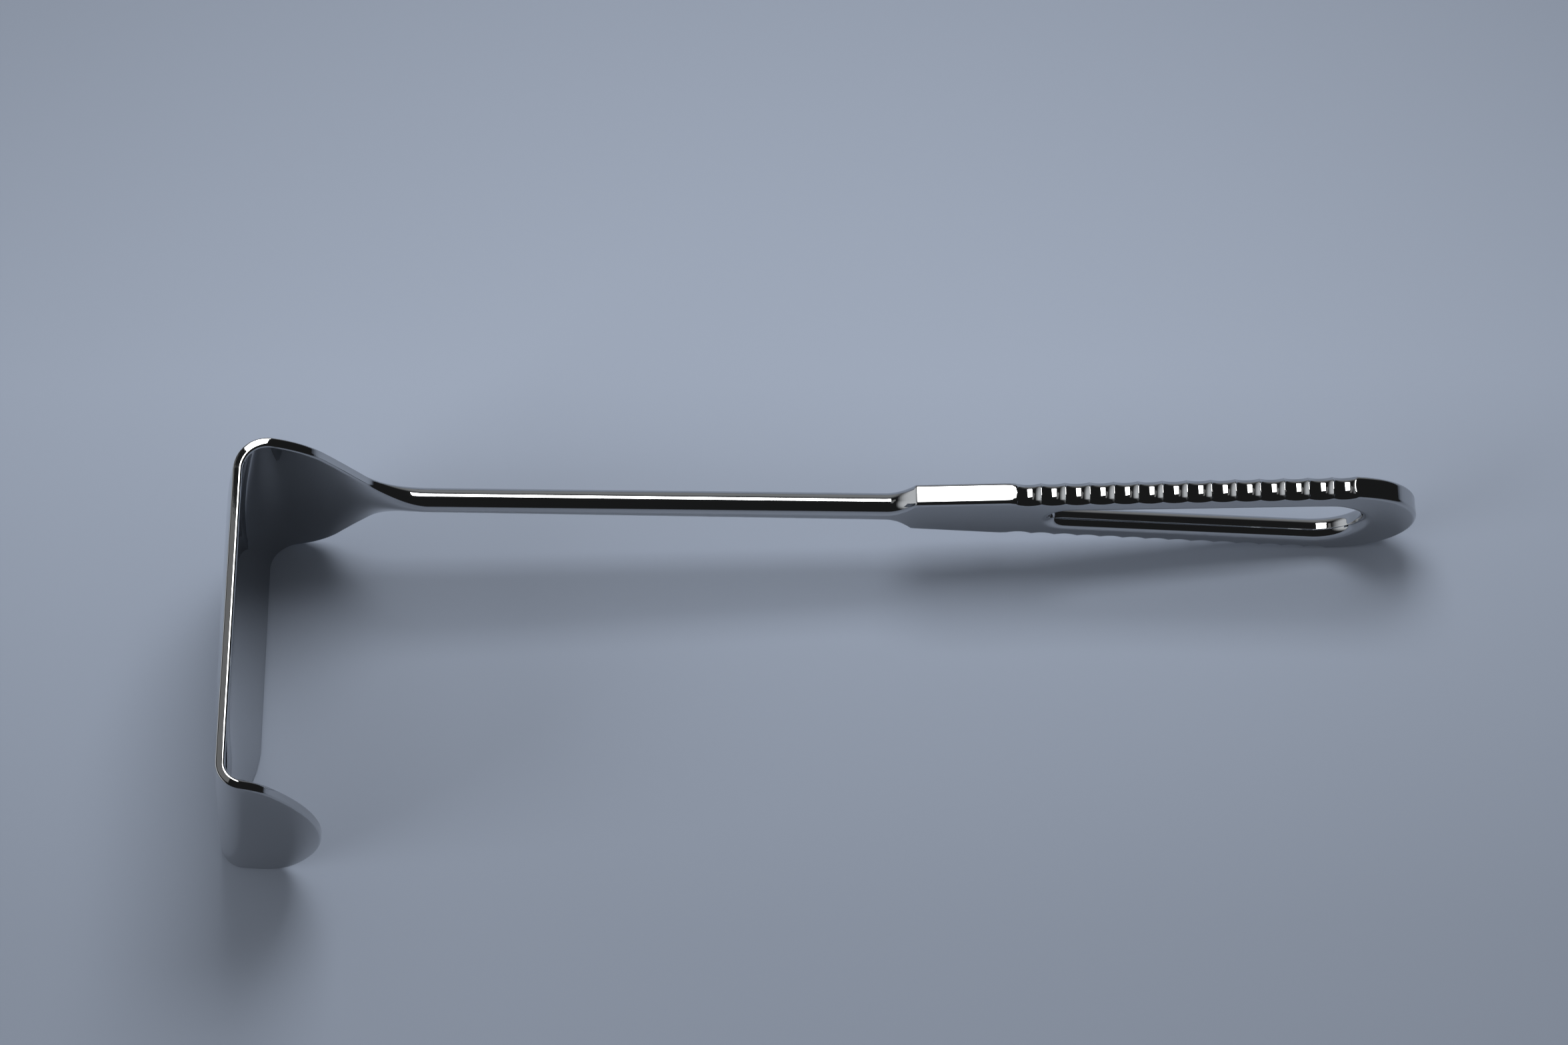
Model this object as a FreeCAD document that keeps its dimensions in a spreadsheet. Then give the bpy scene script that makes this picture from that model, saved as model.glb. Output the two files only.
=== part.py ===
import FreeCAD, Part
import os
from math import asin, atan, atan2, cos, degrees, hypot, radians, sin, sqrt, tan

import Sketcher

V = FreeCAD.Vector

# A handheld surgical retractor, forged, bent and polished from one piece of stainless steel.
# Modelling frame: +X runs along the handle, away from the blade's outer face.
# The blade hangs toward -Y.
# Z is the width, and the part is the same on both sides of Z = 0.
# At the end the part is laid on its side, with +Z up, the way it comes to rest on a table.

SIZES = [
    # Name, value in millimetres or degrees or the formula that gives it, meaning
    ("handle_end", 242.0, "from the blade's outer face at its edges to the handle's end"),
    ("blade_depth", 70.2, "from the handle's middle plane to the lip's outer face"),
    ("blade_width", 59.2, "across the blade at the shoulder"),
    ("lip_width", 61.4, "across the blade where it turns into the lip"),
    ("plate_thickness", 1.9, "of the shoulder, blade and lip"),
    ("blade_dish", 3.3, "how far the blade's middle stands out beyond its edges"),
    ("edge_bend_radius", 5.4, "inside radius of the shoulder bend at the edges"),
    ("middle_bend_radius", 8.5, "inside radius of the shoulder bend in the middle"),
    ("shoulder_set_back", 1.0, "of the shoulder plate, behind the shaft's middle plane"),
    ("shoulder_bow", 1.3, "how far the shoulder's middle stands out beyond its edges"),
    ("outer_edge_round", 0.35, "along the plate's outer face"),
    ("inner_edge_round", 0.6, "along the plate's inner face"),
    ("lip_bend_radius", 3.4, "inside radius of the bend between blade and lip"),
    ("lip_turn", 87.0, "degrees through which the lip is bent"),
    ("lip_reach", 17.7, "from the blade's outer face to the tip of the lip"),
    ("lip_root", 2.2, "where the lip starts to narrow, from the blade's outer face"),
    ("lip_corner_radius", 9.2, "of the lip's two rounded corners"),
    ("lip_flattening", 9.0, "length of lip in which its bow runs out"),
    ("lip_bow", 0.3, "how far the fold's middle stands out beyond its edges"),
    ("lip_skew", 5.4, "how far the fold's lower end is set out, away from the handle"),
    ("lip_skew_run", 20.0, "length of blade in which the skew grows and the dish runs out"),
    ("shoulder_corner_start", 0.4, "where the shoulder starts to narrow"),
    ("shoulder_corner_radius", 19.5, "of the shoulder's two rounded corners"),
    ("shoulder_slope", 57.0, "degrees between the shoulder's straight sides and the handle"),
    ("neck_radius", 15.5, "of the hollow curve between shoulder and shaft"),
    ("neck_width", 5.3, "where the shaft starts"),
    ("shaft_width", 6.7, "where the shaft ends"),
    ("shaft_thickness", 4.9, "of the round sided shaft"),
    ("shaft_flare", 2.8, "length in which the shaft widens into the handle"),
    ("handle_start", 136.8, "from the blade's outer face to the handle"),
    ("handle_start_width", 14.2, "across the handle where it starts"),
    ("handle_end_width", 35.0153, "between the handle's sides, drawn on straight to its end"),
    ("handle_taper", "=atan((handle_end_width - handle_start_width) / 2"
     " / (handle_end - handle_start))", "on each side, from the widths and the length"),
    ("handle_thickness", 4.7, "of the flat handle"),
    ("handle_edge_round", 0.8, "on every long edge of the handle and its slot"),
    ("handle_side_radius", 24.0, "of the curve that ends the taper"),
    ("handle_tip_radius", 15.2, "of the handle's end"),
    ("slot_start", 165.4, "from the blade's outer face to the slot"),
    ("slot_small_radius", 3.7, "of the slot's narrow end"),
    ("slot_large_radius", 8.3, "of the slot's wide end"),
    ("slot_bridge", 11.5, "of handle beyond the slot's wide end"),
    ("flute_pitch", 4.97, "along the edge"),
    ("flute_radius", 3.35, "of each scallop"),
    ("flute_depth", 1.02, "below the handle's edge"),
    ("flute_first", 23.1, "from the handle's start to the middle of the first scallop"),
    ("flute_chamfer", 0.5, "where a scallop meets the handle's faces, at 45 degrees"),
    ("flute_end_gap", 16.0, "of edge beyond the last scallop's middle, at least"),
    ("flute_count", "=floor(((handle_end - handle_start) / cos(handle_taper) - flute_first"
     " - flute_end_gap) / flute_pitch) + 1", "on each edge, from the length of the edge"),
]

# Of the shaft's thickness, the rounding of its four edges
SHAFT_ROUND_SHARE = 0.47
# The shaft's end is smaller than the handle's start by this on every side, and runs on into it
SEAT = 0.04
SHAFT_OVERLAP = 1.5
# Points this near to a plane are taken to lie in it
NEAR = 1e-4

doc = FreeCAD.newDocument("retractor")
sheet = doc.addObject("Spreadsheet::Sheet", "Sizes")
for row, (alias, value, meaning) in enumerate(SIZES, start=1):
    sheet.set("A%d" % row, alias)
    sheet.set("B%d" % row, str(value))
    sheet.set("C%d" % row, meaning)
    sheet.setAlias("B%d" % row, alias)
doc.recompute()


def size(alias):
    """The value of one cell of the sheet."""
    return float(getattr(sheet, alias))


def ease(value, start, end):
    """0 before start, 1 after end and a smooth rise between them."""
    share = min(1.0, max(0.0, (value - start) / (end - start)))
    return share * share * (3.0 - 2.0 * share)


def blend(first, second, share):
    return first + (second - first) * share


# The forging: shaft, shoulder, blade and lip
# Each station is a cross section square to the path of the metal.

plate = size("plate_thickness")
half_plate = plate / 2.0
edge_bend = size("edge_bend_radius") + half_plate
middle_bend = size("middle_bend_radius") + half_plate
shoulder_v = -size("shoulder_set_back")
lip_bend = size("lip_bend_radius") + half_plate
dish = size("blade_dish")
shoulder_bow = size("shoulder_bow")
half_blade = size("blade_width") / 2.0
half_lip = size("lip_width") / 2.0
half_neck = size("neck_width") / 2.0
slope = radians(size("shoulder_slope"))
lip_turn = radians(size("lip_turn"))

# The shoulder's outline, seen square to the plate: corner arc, straight side, neck arc
corner_start = size("shoulder_corner_start")
corner_radius = size("shoulder_corner_radius")
neck_radius = size("neck_radius")
corner_end = corner_start + corner_radius * sin(slope)
corner_drop = corner_radius * (1.0 - cos(slope))
neck_rise = neck_radius * (1.0 - cos(slope))
side_run = (half_blade - corner_drop - neck_rise - half_neck) / tan(slope)
neck_start = corner_end + side_run
neck_end = neck_start + neck_radius * sin(slope)


def shoulder_half_width(x):
    """Half the width of the shoulder at a distance x from the blade's outer face."""
    if x <= corner_start:
        return half_blade
    if x <= corner_end:
        return half_blade - corner_radius + sqrt(corner_radius ** 2 - (x - corner_start) ** 2)
    if x <= neck_start:
        return half_blade - corner_drop - (x - corner_end) * tan(slope)
    if x <= neck_end:
        return half_neck + neck_radius - sqrt(neck_radius ** 2 - (neck_end - x) ** 2)
    return half_neck


BACKWARD = (0.0, -1.0)
OUTWARD = (-1.0, 0.0)

# Centres of the two bends, and of the larger bend in the blade's middle, as x and depth
bend_centre = (half_plate + edge_bend, shoulder_v + edge_bend)
middle_centre = (half_plate - dish + middle_bend, shoulder_v - shoulder_bow + middle_bend)
lip_centre = (half_plate + lip_bend, size("blade_depth") - half_plate - lip_bend)
lip_bow = size("lip_bow")
skew_start = lip_centre[1] - size("lip_skew_run")


def middle_offset(x, depth, normal):
    """How far the middle of a section stands out from its edges, toward the outer face."""
    dx = x - middle_centre[0]
    dv = depth - middle_centre[1]
    if normal == BACKWARD and dx >= 0.0:
        return shoulder_bow * (1.0 - ease(x, middle_centre[0], neck_start))
    if normal == OUTWARD and dv >= 0.0:
        return dish
    along = dx * normal[0] + dv * normal[1]
    return -along + sqrt(along ** 2 - dx ** 2 - dv ** 2 + middle_bend ** 2)


def section(x, depth, normal, half_width, thickness, offset, crown, outer_round, inner_round):
    """Control points of a closed section: two bowed faces, two flat sides and four corners.

    It runs round from the outer face at -Z. Each strip is a list of two, three or four points,
    and the first point of a strip is the last one of the strip before it.
    """
    def point(out, side):
        return V(x + out * normal[0], -(depth + out * normal[1]), side)

    half = thickness / 2.0
    outer_tilt = 2.0 * atan((offset + crown) / (half_width - outer_round))
    inner_tilt = 2.0 * atan((offset - crown) / (half_width - inner_round))

    def corner(centre_out, centre_side, radius, start, turn):
        """A rounded corner, turned from the +n direction, as a cubic."""
        reach = 4.0 / 3.0 * tan(turn / 4.0) * radius
        end = start + turn
        first = (centre_out + radius * cos(start), centre_side + radius * sin(start))
        last = (centre_out + radius * cos(end), centre_side + radius * sin(end))
        return [point(*first),
                point(first[0] - reach * sin(start), first[1] + reach * cos(start)),
                point(last[0] + reach * sin(end), last[1] - reach * cos(end)),
                point(*last)]

    def bow(start, end, out):
        return [start, point(out, 0.0), end]

    quarter = radians(90.0)
    outer_side = half_width - outer_round
    inner_side = half_width - inner_round
    outer_reach = outer_side + outer_round * sin(outer_tilt)
    inner_reach = inner_side - inner_round * sin(inner_tilt)
    outer_apex = half - outer_round + outer_round * cos(outer_tilt) + outer_reach * tan(outer_tilt)
    inner_apex = -half + inner_round - inner_round * cos(inner_tilt) + inner_reach * tan(inner_tilt)
    right_outer = corner(half - outer_round, outer_side, outer_round,
                         outer_tilt, quarter - outer_tilt)
    right_inner = corner(-half + inner_round, inner_side, inner_round,
                         quarter, quarter + inner_tilt)
    left_inner = corner(-half + inner_round, -inner_side, inner_round,
                        2.0 * quarter - inner_tilt, quarter + inner_tilt)
    left_outer = corner(half - outer_round, -outer_side, outer_round,
                        3.0 * quarter, quarter - outer_tilt)
    return [
        bow(left_outer[3], right_outer[0], outer_apex),
        right_outer,
        [right_outer[3], right_inner[0]],
        right_inner,
        bow(right_inner[3], left_inner[0], inner_apex),
        left_inner,
        [left_inner[3], left_outer[0]],
        left_outer,
    ]


def run_length(before, after):
    """Distance between two sections, taken where it is longest."""
    return max((after[0][1] - before[0][1]).Length, (after[4][0] - before[4][0]).Length)


def joint_speed(left, right, strip, index):
    """Direction of one rail where two runs meet, per millimetre of path."""
    if len(left) == 2:
        before, after = left
    elif len(right) == 2:
        before, after = right
    else:
        before, after = left[-2], right[1]
        middle = left[-1]
        length = run_length(before, middle) + run_length(middle, after)
        return (after[strip][index] - before[strip][index]) / length
    return (after[strip][index] - before[strip][index]) / run_length(before, after)


def rail_curve(runs, arcs, number, strip, index):
    """One rail of one run: a straight line, or a cubic that leaves and arrives in line."""
    run = runs[number]
    points = [section[strip][index] for section in run]
    places = [0.0]
    for before, after in zip(run, run[1:]):
        places.append(places[-1] + run_length(before, after))
    rail = Part.BSplineCurve()
    if len(run) == 2:
        rail.buildFromPolesMultsKnots(points, [2, 2], [0.0, places[-1]], False, 1)
        return rail
    start = (points[1] - points[0]) / places[1]
    end = (points[-1] - points[-2]) / (places[-1] - places[-2])
    if number > 0:
        left = runs[number - 1]
        start = joint_speed(left[-2:] if number - 1 in arcs else left, run, strip, index)
    if number < len(runs) - 1:
        right = runs[number + 1]
        end = joint_speed(run, right[:2] if number + 1 in arcs else right, strip, index)
    rail.interpolate(Points=points, Parameters=places, InitialTangent=start, FinalTangent=end,
                     Scale=False)
    return rail


def strip_surface(runs, arcs, number, strip):
    """One strip of one run, as a surface of the strip's own degree across."""
    run = runs[number]
    columns = len(run[0][strip])
    across = columns - 1
    surface = Part.BSplineSurface()
    if number in arcs:
        poles = [section[strip] for section in run]
        weights = [[1.0] * columns, [arcs[number]] * columns, [1.0] * columns]
        surface.buildFromPolesMultsKnots(poles, [3, 3], [columns, columns], [0.0, 1.0],
                                         [0.0, 1.0], False, False, 2, across, weights)
        return surface
    rails = [rail_curve(runs, arcs, number, strip, index) for index in range(columns)]
    poles = [list(row) for row in zip(*[rail.getPoles() for rail in rails])]
    surface.buildFromPolesMultsKnots(
        poles, rails[0].getMultiplicities(), [columns, columns],
        rails[0].getKnots(), [0.0, 1.0], False, False, rails[0].Degree, across)
    return surface


def skin(runs, arcs):
    """A solid skinned over runs of sections, with flat ends. Runs share their end sections.

    A run named in arcs is a true arc: its two end sections, the crossings of their tangents
    between them, and the weight of those crossings.
    """
    faces = []
    for number, run in enumerate(runs):
        for strip in range(len(run[0])):
            faces.append(strip_surface(runs, arcs, number, strip).toShape())
    for end_section in (runs[0][0], runs[-1][-1]):
        edges = []
        for strip in end_section:
            curve = Part.BezierCurve()
            curve.setPoles(strip)
            edges.append(curve.toShape())
        faces.append(Part.Face(Part.Wire(edges)))
    shell = Part.makeShell(faces)
    shell.sewShape()
    solid = Part.makeSolid(shell)
    if solid.Volume < 0.0:
        solid.reverse()
    return solid


handle_start = size("handle_start")
handle_thickness = size("handle_thickness")
handle_edge_round = size("handle_edge_round")
handle_taper = radians(size("handle_taper"))
half_handle_start = size("handle_start_width") / 2.0
shaft_thickness = size("shaft_thickness")
shaft_round = SHAFT_ROUND_SHARE * shaft_thickness


def shaft_section(x):
    """Round sided shaft, which widens into the handle at one end."""
    flare_start = handle_start - size("shaft_flare")
    share = (x - neck_end) / (flare_start - neck_end)
    half_width = blend(half_neck, size("shaft_width") / 2.0, min(1.0, share))
    flare = ease(x, flare_start, handle_start)
    half_width = blend(half_width, half_handle_start - SEAT, flare)
    thickness = blend(shaft_thickness, handle_thickness - 2.0 * SEAT, flare)
    corner = blend(shaft_round, handle_edge_round, flare)
    return section(x, 0.0, BACKWARD, half_width, thickness, 0.0, 0.0, corner, corner)


def shoulder_section(x):
    """Flat plate that thickens and rounds into the shaft."""
    middle_thickness = blend(plate, shaft_thickness, ease(x, corner_end, neck_end))
    edge_thickness = blend(plate, shaft_thickness, ease(x, neck_start, neck_end))
    rounding = ease(x, neck_start, neck_end)
    depth = blend(shoulder_v, 0.0, ease(x, corner_end, neck_end))
    return section(x, depth, BACKWARD, shoulder_half_width(x), edge_thickness,
                   middle_offset(x, depth, BACKWARD), (middle_thickness - edge_thickness) / 2.0,
                   blend(size("outer_edge_round"), shaft_round, rounding),
                   blend(size("inner_edge_round"), shaft_round, rounding))


def plate_section(x, depth, normal, half_width, offset):
    return section(x, depth, normal, half_width, plate, offset, 0.0,
                   size("outer_edge_round"), size("inner_edge_round"))


def bend_section(turn):
    """Shoulder bend, from 0 at the shoulder to 90 degrees at the blade."""
    normal = (-sin(turn), -cos(turn))
    x = bend_centre[0] + edge_bend * normal[0]
    depth = bend_centre[1] + edge_bend * normal[1]
    return plate_section(x, depth, normal, shoulder_half_width(x), middle_offset(x, depth, normal))


def skewed(strips, share):
    """A section whose lower end is set out by a share of the lip's skew."""
    pull = share * size("lip_skew") / (2.0 * half_lip)
    return [[point - V(pull * (half_lip - point.z), 0.0, 0.0) for point in strip]
            for strip in strips]


def blade_section(depth):
    """Dished blade, which loses its dish and is drawn askew where it nears the lip."""
    share = (depth - bend_centre[1]) / (lip_centre[1] - bend_centre[1])
    half_width = blend(half_blade, half_lip, share)
    change = ease(depth, skew_start, lip_centre[1])
    offset = blend(middle_offset(half_plate, depth, OUTWARD), lip_bow, change)
    return skewed(plate_section(half_plate, depth, OUTWARD, half_width, offset), change)


def lip_bend_section(turn):
    """Bend between blade and lip, turned on from the blade's direction."""
    normal = (-cos(turn), sin(turn))
    x = lip_centre[0] + lip_bend * normal[0]
    depth = lip_centre[1] + lip_bend * normal[1]
    return skewed(plate_section(x, depth, normal, half_lip, lip_bow), 1.0)


def lip_section(distance):
    """Flat lip, a distance beyond its bend."""
    normal = (-cos(lip_turn), sin(lip_turn))
    x = lip_centre[0] + lip_bend * normal[0] + distance * sin(lip_turn)
    depth = lip_centre[1] + lip_bend * normal[1] + distance * cos(lip_turn)
    offset = lip_bow * (1.0 - ease(distance, 0.0, size("lip_flattening")))
    return skewed(plate_section(x, depth, normal, half_lip, offset), 1.0)


def arc_run(first, last, centre, turn):
    """Two sections with the crossings of their tangents between them, for a true arc."""
    reach = 1.0 / cos(turn / 2.0) ** 2
    crossings = []
    for first_strip, last_strip in zip(first, last):
        row = []
        for start, end in zip(first_strip, last_strip):
            middle = (start + end) / 2.0
            pivot = skewed([[V(centre[0], -centre[1], middle.z)]], 1.0)[0][0]
            row.append(pivot + (middle - pivot) * reach)
        crossings.append(row)
    return [first, crossings, last]


def spaced(start, end, count):
    """Evenly spaced values from start to end, both included."""
    return [start + (end - start) * i / count for i in range(count + 1)]


flare_start = handle_start - size("shaft_flare")
lip_length = size("lip_reach") + 2.0 * plate
quarter_turn = radians(90.0)

handle_seat = [shaft_section(handle_start + SHAFT_OVERLAP), shaft_section(handle_start)]
shaft_end = [shaft_section(x) for x in spaced(handle_start, flare_start, 3)]
shaft = [shaft_end[-1], shaft_section(neck_end)]
neck = [shaft[-1]] + [shoulder_section(x) for x in spaced(neck_end, neck_start, 4)[1:]]
shoulder_side = [neck[-1]] + [shoulder_section(x) for x in spaced(neck_start, corner_end, 2)[1:]]
shoulder_corner = [shoulder_side[-1]] + [shoulder_section(x)
                                         for x in spaced(corner_end, bend_centre[0], 3)[1:]]
bend = [shoulder_corner[-1]] + [bend_section(a) for a in spaced(0.0, quarter_turn, 4)[1:]]
dishing = [bend[-1]] + [blade_section(d) for d in spaced(bend_centre[1], middle_centre[1], 2)[1:]]
blade = [dishing[-1], blade_section(skew_start)]
skewing = [blade[-1]] + [blade_section(d) for d in spaced(skew_start, lip_centre[1], 4)[1:]]
lip_fold = arc_run(lip_bend_section(0.0), lip_bend_section(lip_turn), lip_centre, lip_turn)
lip_fade = [lip_fold[-1]] + [lip_section(d) for d in spaced(0.0, size("lip_flattening"), 2)[1:]]
lip = [lip_fade[-1], lip_section(lip_length)]

runs = [handle_seat, shaft_end, shaft, neck, shoulder_side, shoulder_corner, bend, dishing,
        blade, skewing, lip_fold, lip_fade, lip]
arcs = {runs.index(lip_fold): cos(lip_turn / 2.0)}

forging = doc.addObject("Part::Feature", "Forging")
forging.Label = "shaft_shoulder_blade_and_lip"
forging.Shape = skin(runs, arcs)


# Sketch helpers

def plane_of(body, role):
    """One of the body's own origin planes."""
    return [feature for feature in body.Origin.OriginFeatures if feature.Role == role][0]


def new_sketch(body, name, role):
    sketch = body.newObject("Sketcher::SketchObject", name)
    sketch.AttachmentSupport = [(plane_of(body, role), "")]
    sketch.MapMode = "FlatFace"
    return sketch


def bind(sketch, constraint, name, expression):
    """Adds a sizing constraint with a name and ties it to the sheet."""
    index = sketch.addConstraint(constraint)
    sketch.renameConstraint(index, name)
    sketch.setExpression("Constraints." + name, expression)


def line(sketch, start, end, construction=False):
    return sketch.addGeometry(Part.LineSegment(V(*start, 0.0), V(*end, 0.0)), construction)


def arc(sketch, centre, radius, start, end):
    """Counterclockwise arc between two angles in radians."""
    circle = Part.Circle(V(*centre, 0.0), V(0.0, 0.0, 1.0), radius)
    return sketch.addGeometry(Part.ArcOfCircle(circle, start, end), False)


# The sketcher's numbers for the points of an edge, and for a sketch's own origin and axes
START, END, CENTRE = range(1, 4)
ORIGIN = (-1, START)
X_AXIS = -1
Y_AXIS = -2


# The body: forging, lip outline, handle, slot and flutes

body = doc.addObject("PartDesign::Body", "Retractor")
body.Label = "retractor"
body.BaseFeature = forging
doc.recompute()

# Lip outline: everything beyond a tongue with two rounded corners and a broad tip is cut away
lip_root = size("lip_root")
lip_corner = size("lip_corner_radius")
lip_run = size("lip_reach") - lip_root
lip_tip = (lip_run ** 2 + half_lip ** 2 - 2.0 * half_lip * lip_corner) / (2.0 * (lip_run - lip_corner))
lip_margin = 3.0
lip_tip_centre = lip_root + lip_run - lip_tip
corner_angle = atan2(half_lip - lip_corner, lip_root - lip_tip_centre)
cut_side = half_lip + lip_margin
cut_end = lip_root + lip_length + lip_margin

outline = new_sketch(body, "LipOutline", "XZ_Plane")
upper_corner = arc(outline, (lip_root, half_lip - lip_corner), lip_corner, corner_angle, quarter_turn)
tip = arc(outline, (lip_tip_centre, 0.0), lip_tip, -corner_angle, corner_angle)
lower_corner = arc(outline, (lip_root, lip_corner - half_lip), lip_corner, -quarter_turn, -corner_angle)
lower_step = line(outline, (lip_root, -half_lip), (lip_root, -cut_side))
lower_side = line(outline, (lip_root, -cut_side), (cut_end, -cut_side))
far_side = line(outline, (cut_end, -cut_side), (cut_end, cut_side))
upper_side = line(outline, (cut_end, cut_side), (lip_root, cut_side))
upper_step = line(outline, (lip_root, cut_side), (lip_root, half_lip))
for first, first_end, second, second_end in (
        (upper_corner, START, tip, END), (tip, START, lower_corner, END)):
    outline.addConstraint(Sketcher.Constraint("Tangent", first, first_end, second, second_end))
for first, first_end, second, second_end in (
        (lower_corner, START, lower_step, START), (lower_step, END, lower_side, START),
        (lower_side, END, far_side, START), (far_side, END, upper_side, START),
        (upper_side, END, upper_step, START), (upper_step, END, upper_corner, END)):
    outline.addConstraint(Sketcher.Constraint("Coincident", first, first_end, second, second_end))
for edge in (lower_step, far_side, upper_step):
    outline.addConstraint(Sketcher.Constraint("Vertical", edge))
for edge in (lower_side, upper_side):
    outline.addConstraint(Sketcher.Constraint("Horizontal", edge))
outline.addConstraint(Sketcher.Constraint("PointOnObject", tip, CENTRE, X_AXIS))
outline.addConstraint(Sketcher.Constraint("Vertical", upper_corner, CENTRE, upper_corner, END))
outline.addConstraint(Sketcher.Constraint("Vertical", lower_corner, CENTRE, lower_corner, START))
outline.addConstraint(Sketcher.Constraint("Equal", upper_corner, lower_corner))
bind(outline, Sketcher.Constraint("Radius", upper_corner, lip_corner), "corner",
     "Sizes.lip_corner_radius")
bind(outline, Sketcher.Constraint("DistanceX", *ORIGIN, upper_corner, END, lip_root), "root",
     "Sizes.lip_root")
bind(outline, Sketcher.Constraint("DistanceY", *ORIGIN, upper_corner, END, half_lip), "upper",
     "Sizes.lip_width / 2")
bind(outline, Sketcher.Constraint("DistanceY", lower_corner, START, *ORIGIN, half_lip), "lower",
     "Sizes.lip_width / 2")
bind(outline, Sketcher.Constraint("Radius", tip, lip_tip), "tip",
     "((Sizes.lip_reach - Sizes.lip_root) ^ 2 + (Sizes.lip_width / 2) ^ 2"
     " - Sizes.lip_width * Sizes.lip_corner_radius)"
     " / (2 * (Sizes.lip_reach - Sizes.lip_root - Sizes.lip_corner_radius))")
bind(outline, Sketcher.Constraint("DistanceX", upper_step, END, far_side, START, cut_end - lip_root),
     "beyond", "Sizes.lip_reach + 2 * Sizes.plate_thickness + %s" % lip_margin)
bind(outline, Sketcher.Constraint("DistanceY", upper_step, END, upper_step, START, lip_margin),
     "margin", str(lip_margin))
bind(outline, Sketcher.Constraint("DistanceY", lower_step, END, lower_step, START, lip_margin),
     "lower_margin", str(lip_margin))

# The cut starts well below the lip and stops above it, clear of the shoulder
cut_below = dish + 2.0 * plate + lip_length * cos(lip_turn)
outline.setExpression("AttachmentOffset.Base.z", "Sizes.blade_depth + %s" % cut_below)
lip_cut = body.newObject("PartDesign::Pocket", "LipCut")
lip_cut.Profile = outline
lip_cut.Length = 2.0 * cut_below
lip_cut.Reversed = False

# Handle: a tapered flat bar with a rounded end
handle_end = size("handle_end")
side_radius = size("handle_side_radius")
tip_radius = size("handle_tip_radius")
tip_centre = handle_end - tip_radius

# The side arc lies inside the taper line and holds the tip arc, so its centre is found from both
reach = side_radius - tip_radius
level = (side_radius - (tip_centre - handle_start) * sin(handle_taper)
         - half_handle_start * cos(handle_taper))
turn = handle_taper + asin(level / reach)
side_centre = (tip_centre - reach * cos(turn), -reach * sin(turn))
taper_end = (side_centre[0] - side_radius * sin(handle_taper),
             side_centre[1] + side_radius * cos(handle_taper))

bar = new_sketch(body, "HandleOutline", "XZ_Plane")
upper_taper = line(bar, (handle_start, half_handle_start), taper_end)
upper_arc = arc(bar, side_centre, side_radius, turn, quarter_turn + handle_taper)
end_arc = arc(bar, (tip_centre, 0.0), tip_radius, -turn, turn)
lower_arc = arc(bar, (side_centre[0], -side_centre[1]), side_radius,
                -quarter_turn - handle_taper, -turn)
lower_taper = line(bar, (taper_end[0], -taper_end[1]), (handle_start, -half_handle_start))
front = line(bar, (handle_start, -half_handle_start), (handle_start, half_handle_start))
flute_line = line(bar, (handle_start, half_handle_start), taper_end, True)
for first, first_end, second, second_end in (
        (upper_taper, END, upper_arc, END), (upper_arc, START, end_arc, END),
        (end_arc, START, lower_arc, END), (lower_arc, START, lower_taper, START)):
    bar.addConstraint(Sketcher.Constraint("Tangent", first, first_end, second, second_end))
for first, first_end, second, second_end in (
        (lower_taper, END, front, START), (front, END, upper_taper, START),
        (flute_line, START, upper_taper, START), (flute_line, END, upper_taper, END)):
    bar.addConstraint(Sketcher.Constraint("Coincident", first, first_end, second, second_end))
bar.addConstraint(Sketcher.Constraint("Vertical", front))
bar.addConstraint(Sketcher.Constraint("PointOnObject", end_arc, CENTRE, X_AXIS))
bar.addConstraint(Sketcher.Constraint("Equal", upper_arc, lower_arc))
bind(bar, Sketcher.Constraint("DistanceX", *ORIGIN, front, END, handle_start), "start",
     "Sizes.handle_start")
bind(bar, Sketcher.Constraint("DistanceY", *ORIGIN, front, END, half_handle_start), "upper",
     "Sizes.handle_start_width / 2")
bind(bar, Sketcher.Constraint("DistanceY", front, START, *ORIGIN, half_handle_start), "lower",
     "Sizes.handle_start_width / 2")
bind(bar, Sketcher.Constraint("Angle", X_AXIS, START, upper_taper, START, handle_taper),
     "upper_angle", "Sizes.handle_taper")
bind(bar, Sketcher.Constraint("Radius", upper_arc, side_radius), "side",
     "Sizes.handle_side_radius")
bind(bar, Sketcher.Constraint("Radius", end_arc, tip_radius), "tip", "Sizes.handle_tip_radius")
bind(bar, Sketcher.Constraint("DistanceX", *ORIGIN, end_arc, CENTRE, tip_centre), "tip_centre",
     "Sizes.handle_end - Sizes.handle_tip_radius")
bar.addConstraint(Sketcher.Constraint("Equal", upper_taper, lower_taper))
blank = body.newObject("PartDesign::Pad", "HandleBlank")
blank.Profile = bar
blank.SideType = "Symmetric"
blank.setExpression("Length", "Sizes.handle_thickness")

# Slot: a long teardrop, wide at the handle's end
slot_start = size("slot_start")
small = size("slot_small_radius")
large = size("slot_large_radius")
slot_small = slot_start + small
slot_large = handle_end - size("slot_bridge") - large
spread = asin((large - small) / (slot_large - slot_small))
slot = new_sketch(body, "SlotOutline", "XZ_Plane")
narrow = arc(slot, (slot_small, 0.0), small, quarter_turn + spread, 3.0 * quarter_turn - spread)
wide = arc(slot, (slot_large, 0.0), large, -quarter_turn - spread, quarter_turn + spread)
upper_edge = line(slot, (slot_small - small * sin(spread), small * cos(spread)),
                  (slot_large - large * sin(spread), large * cos(spread)))
lower_edge = line(slot, (slot_small - small * sin(spread), -small * cos(spread)),
                  (slot_large - large * sin(spread), -large * cos(spread)))
for first, first_end, second, second_end in (
        (narrow, START, upper_edge, START), (upper_edge, END, wide, END),
        (wide, START, lower_edge, END), (lower_edge, START, narrow, END)):
    slot.addConstraint(Sketcher.Constraint("Tangent", first, first_end, second, second_end))
for curve in (narrow, wide):
    slot.addConstraint(Sketcher.Constraint("PointOnObject", curve, CENTRE, X_AXIS))
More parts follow.
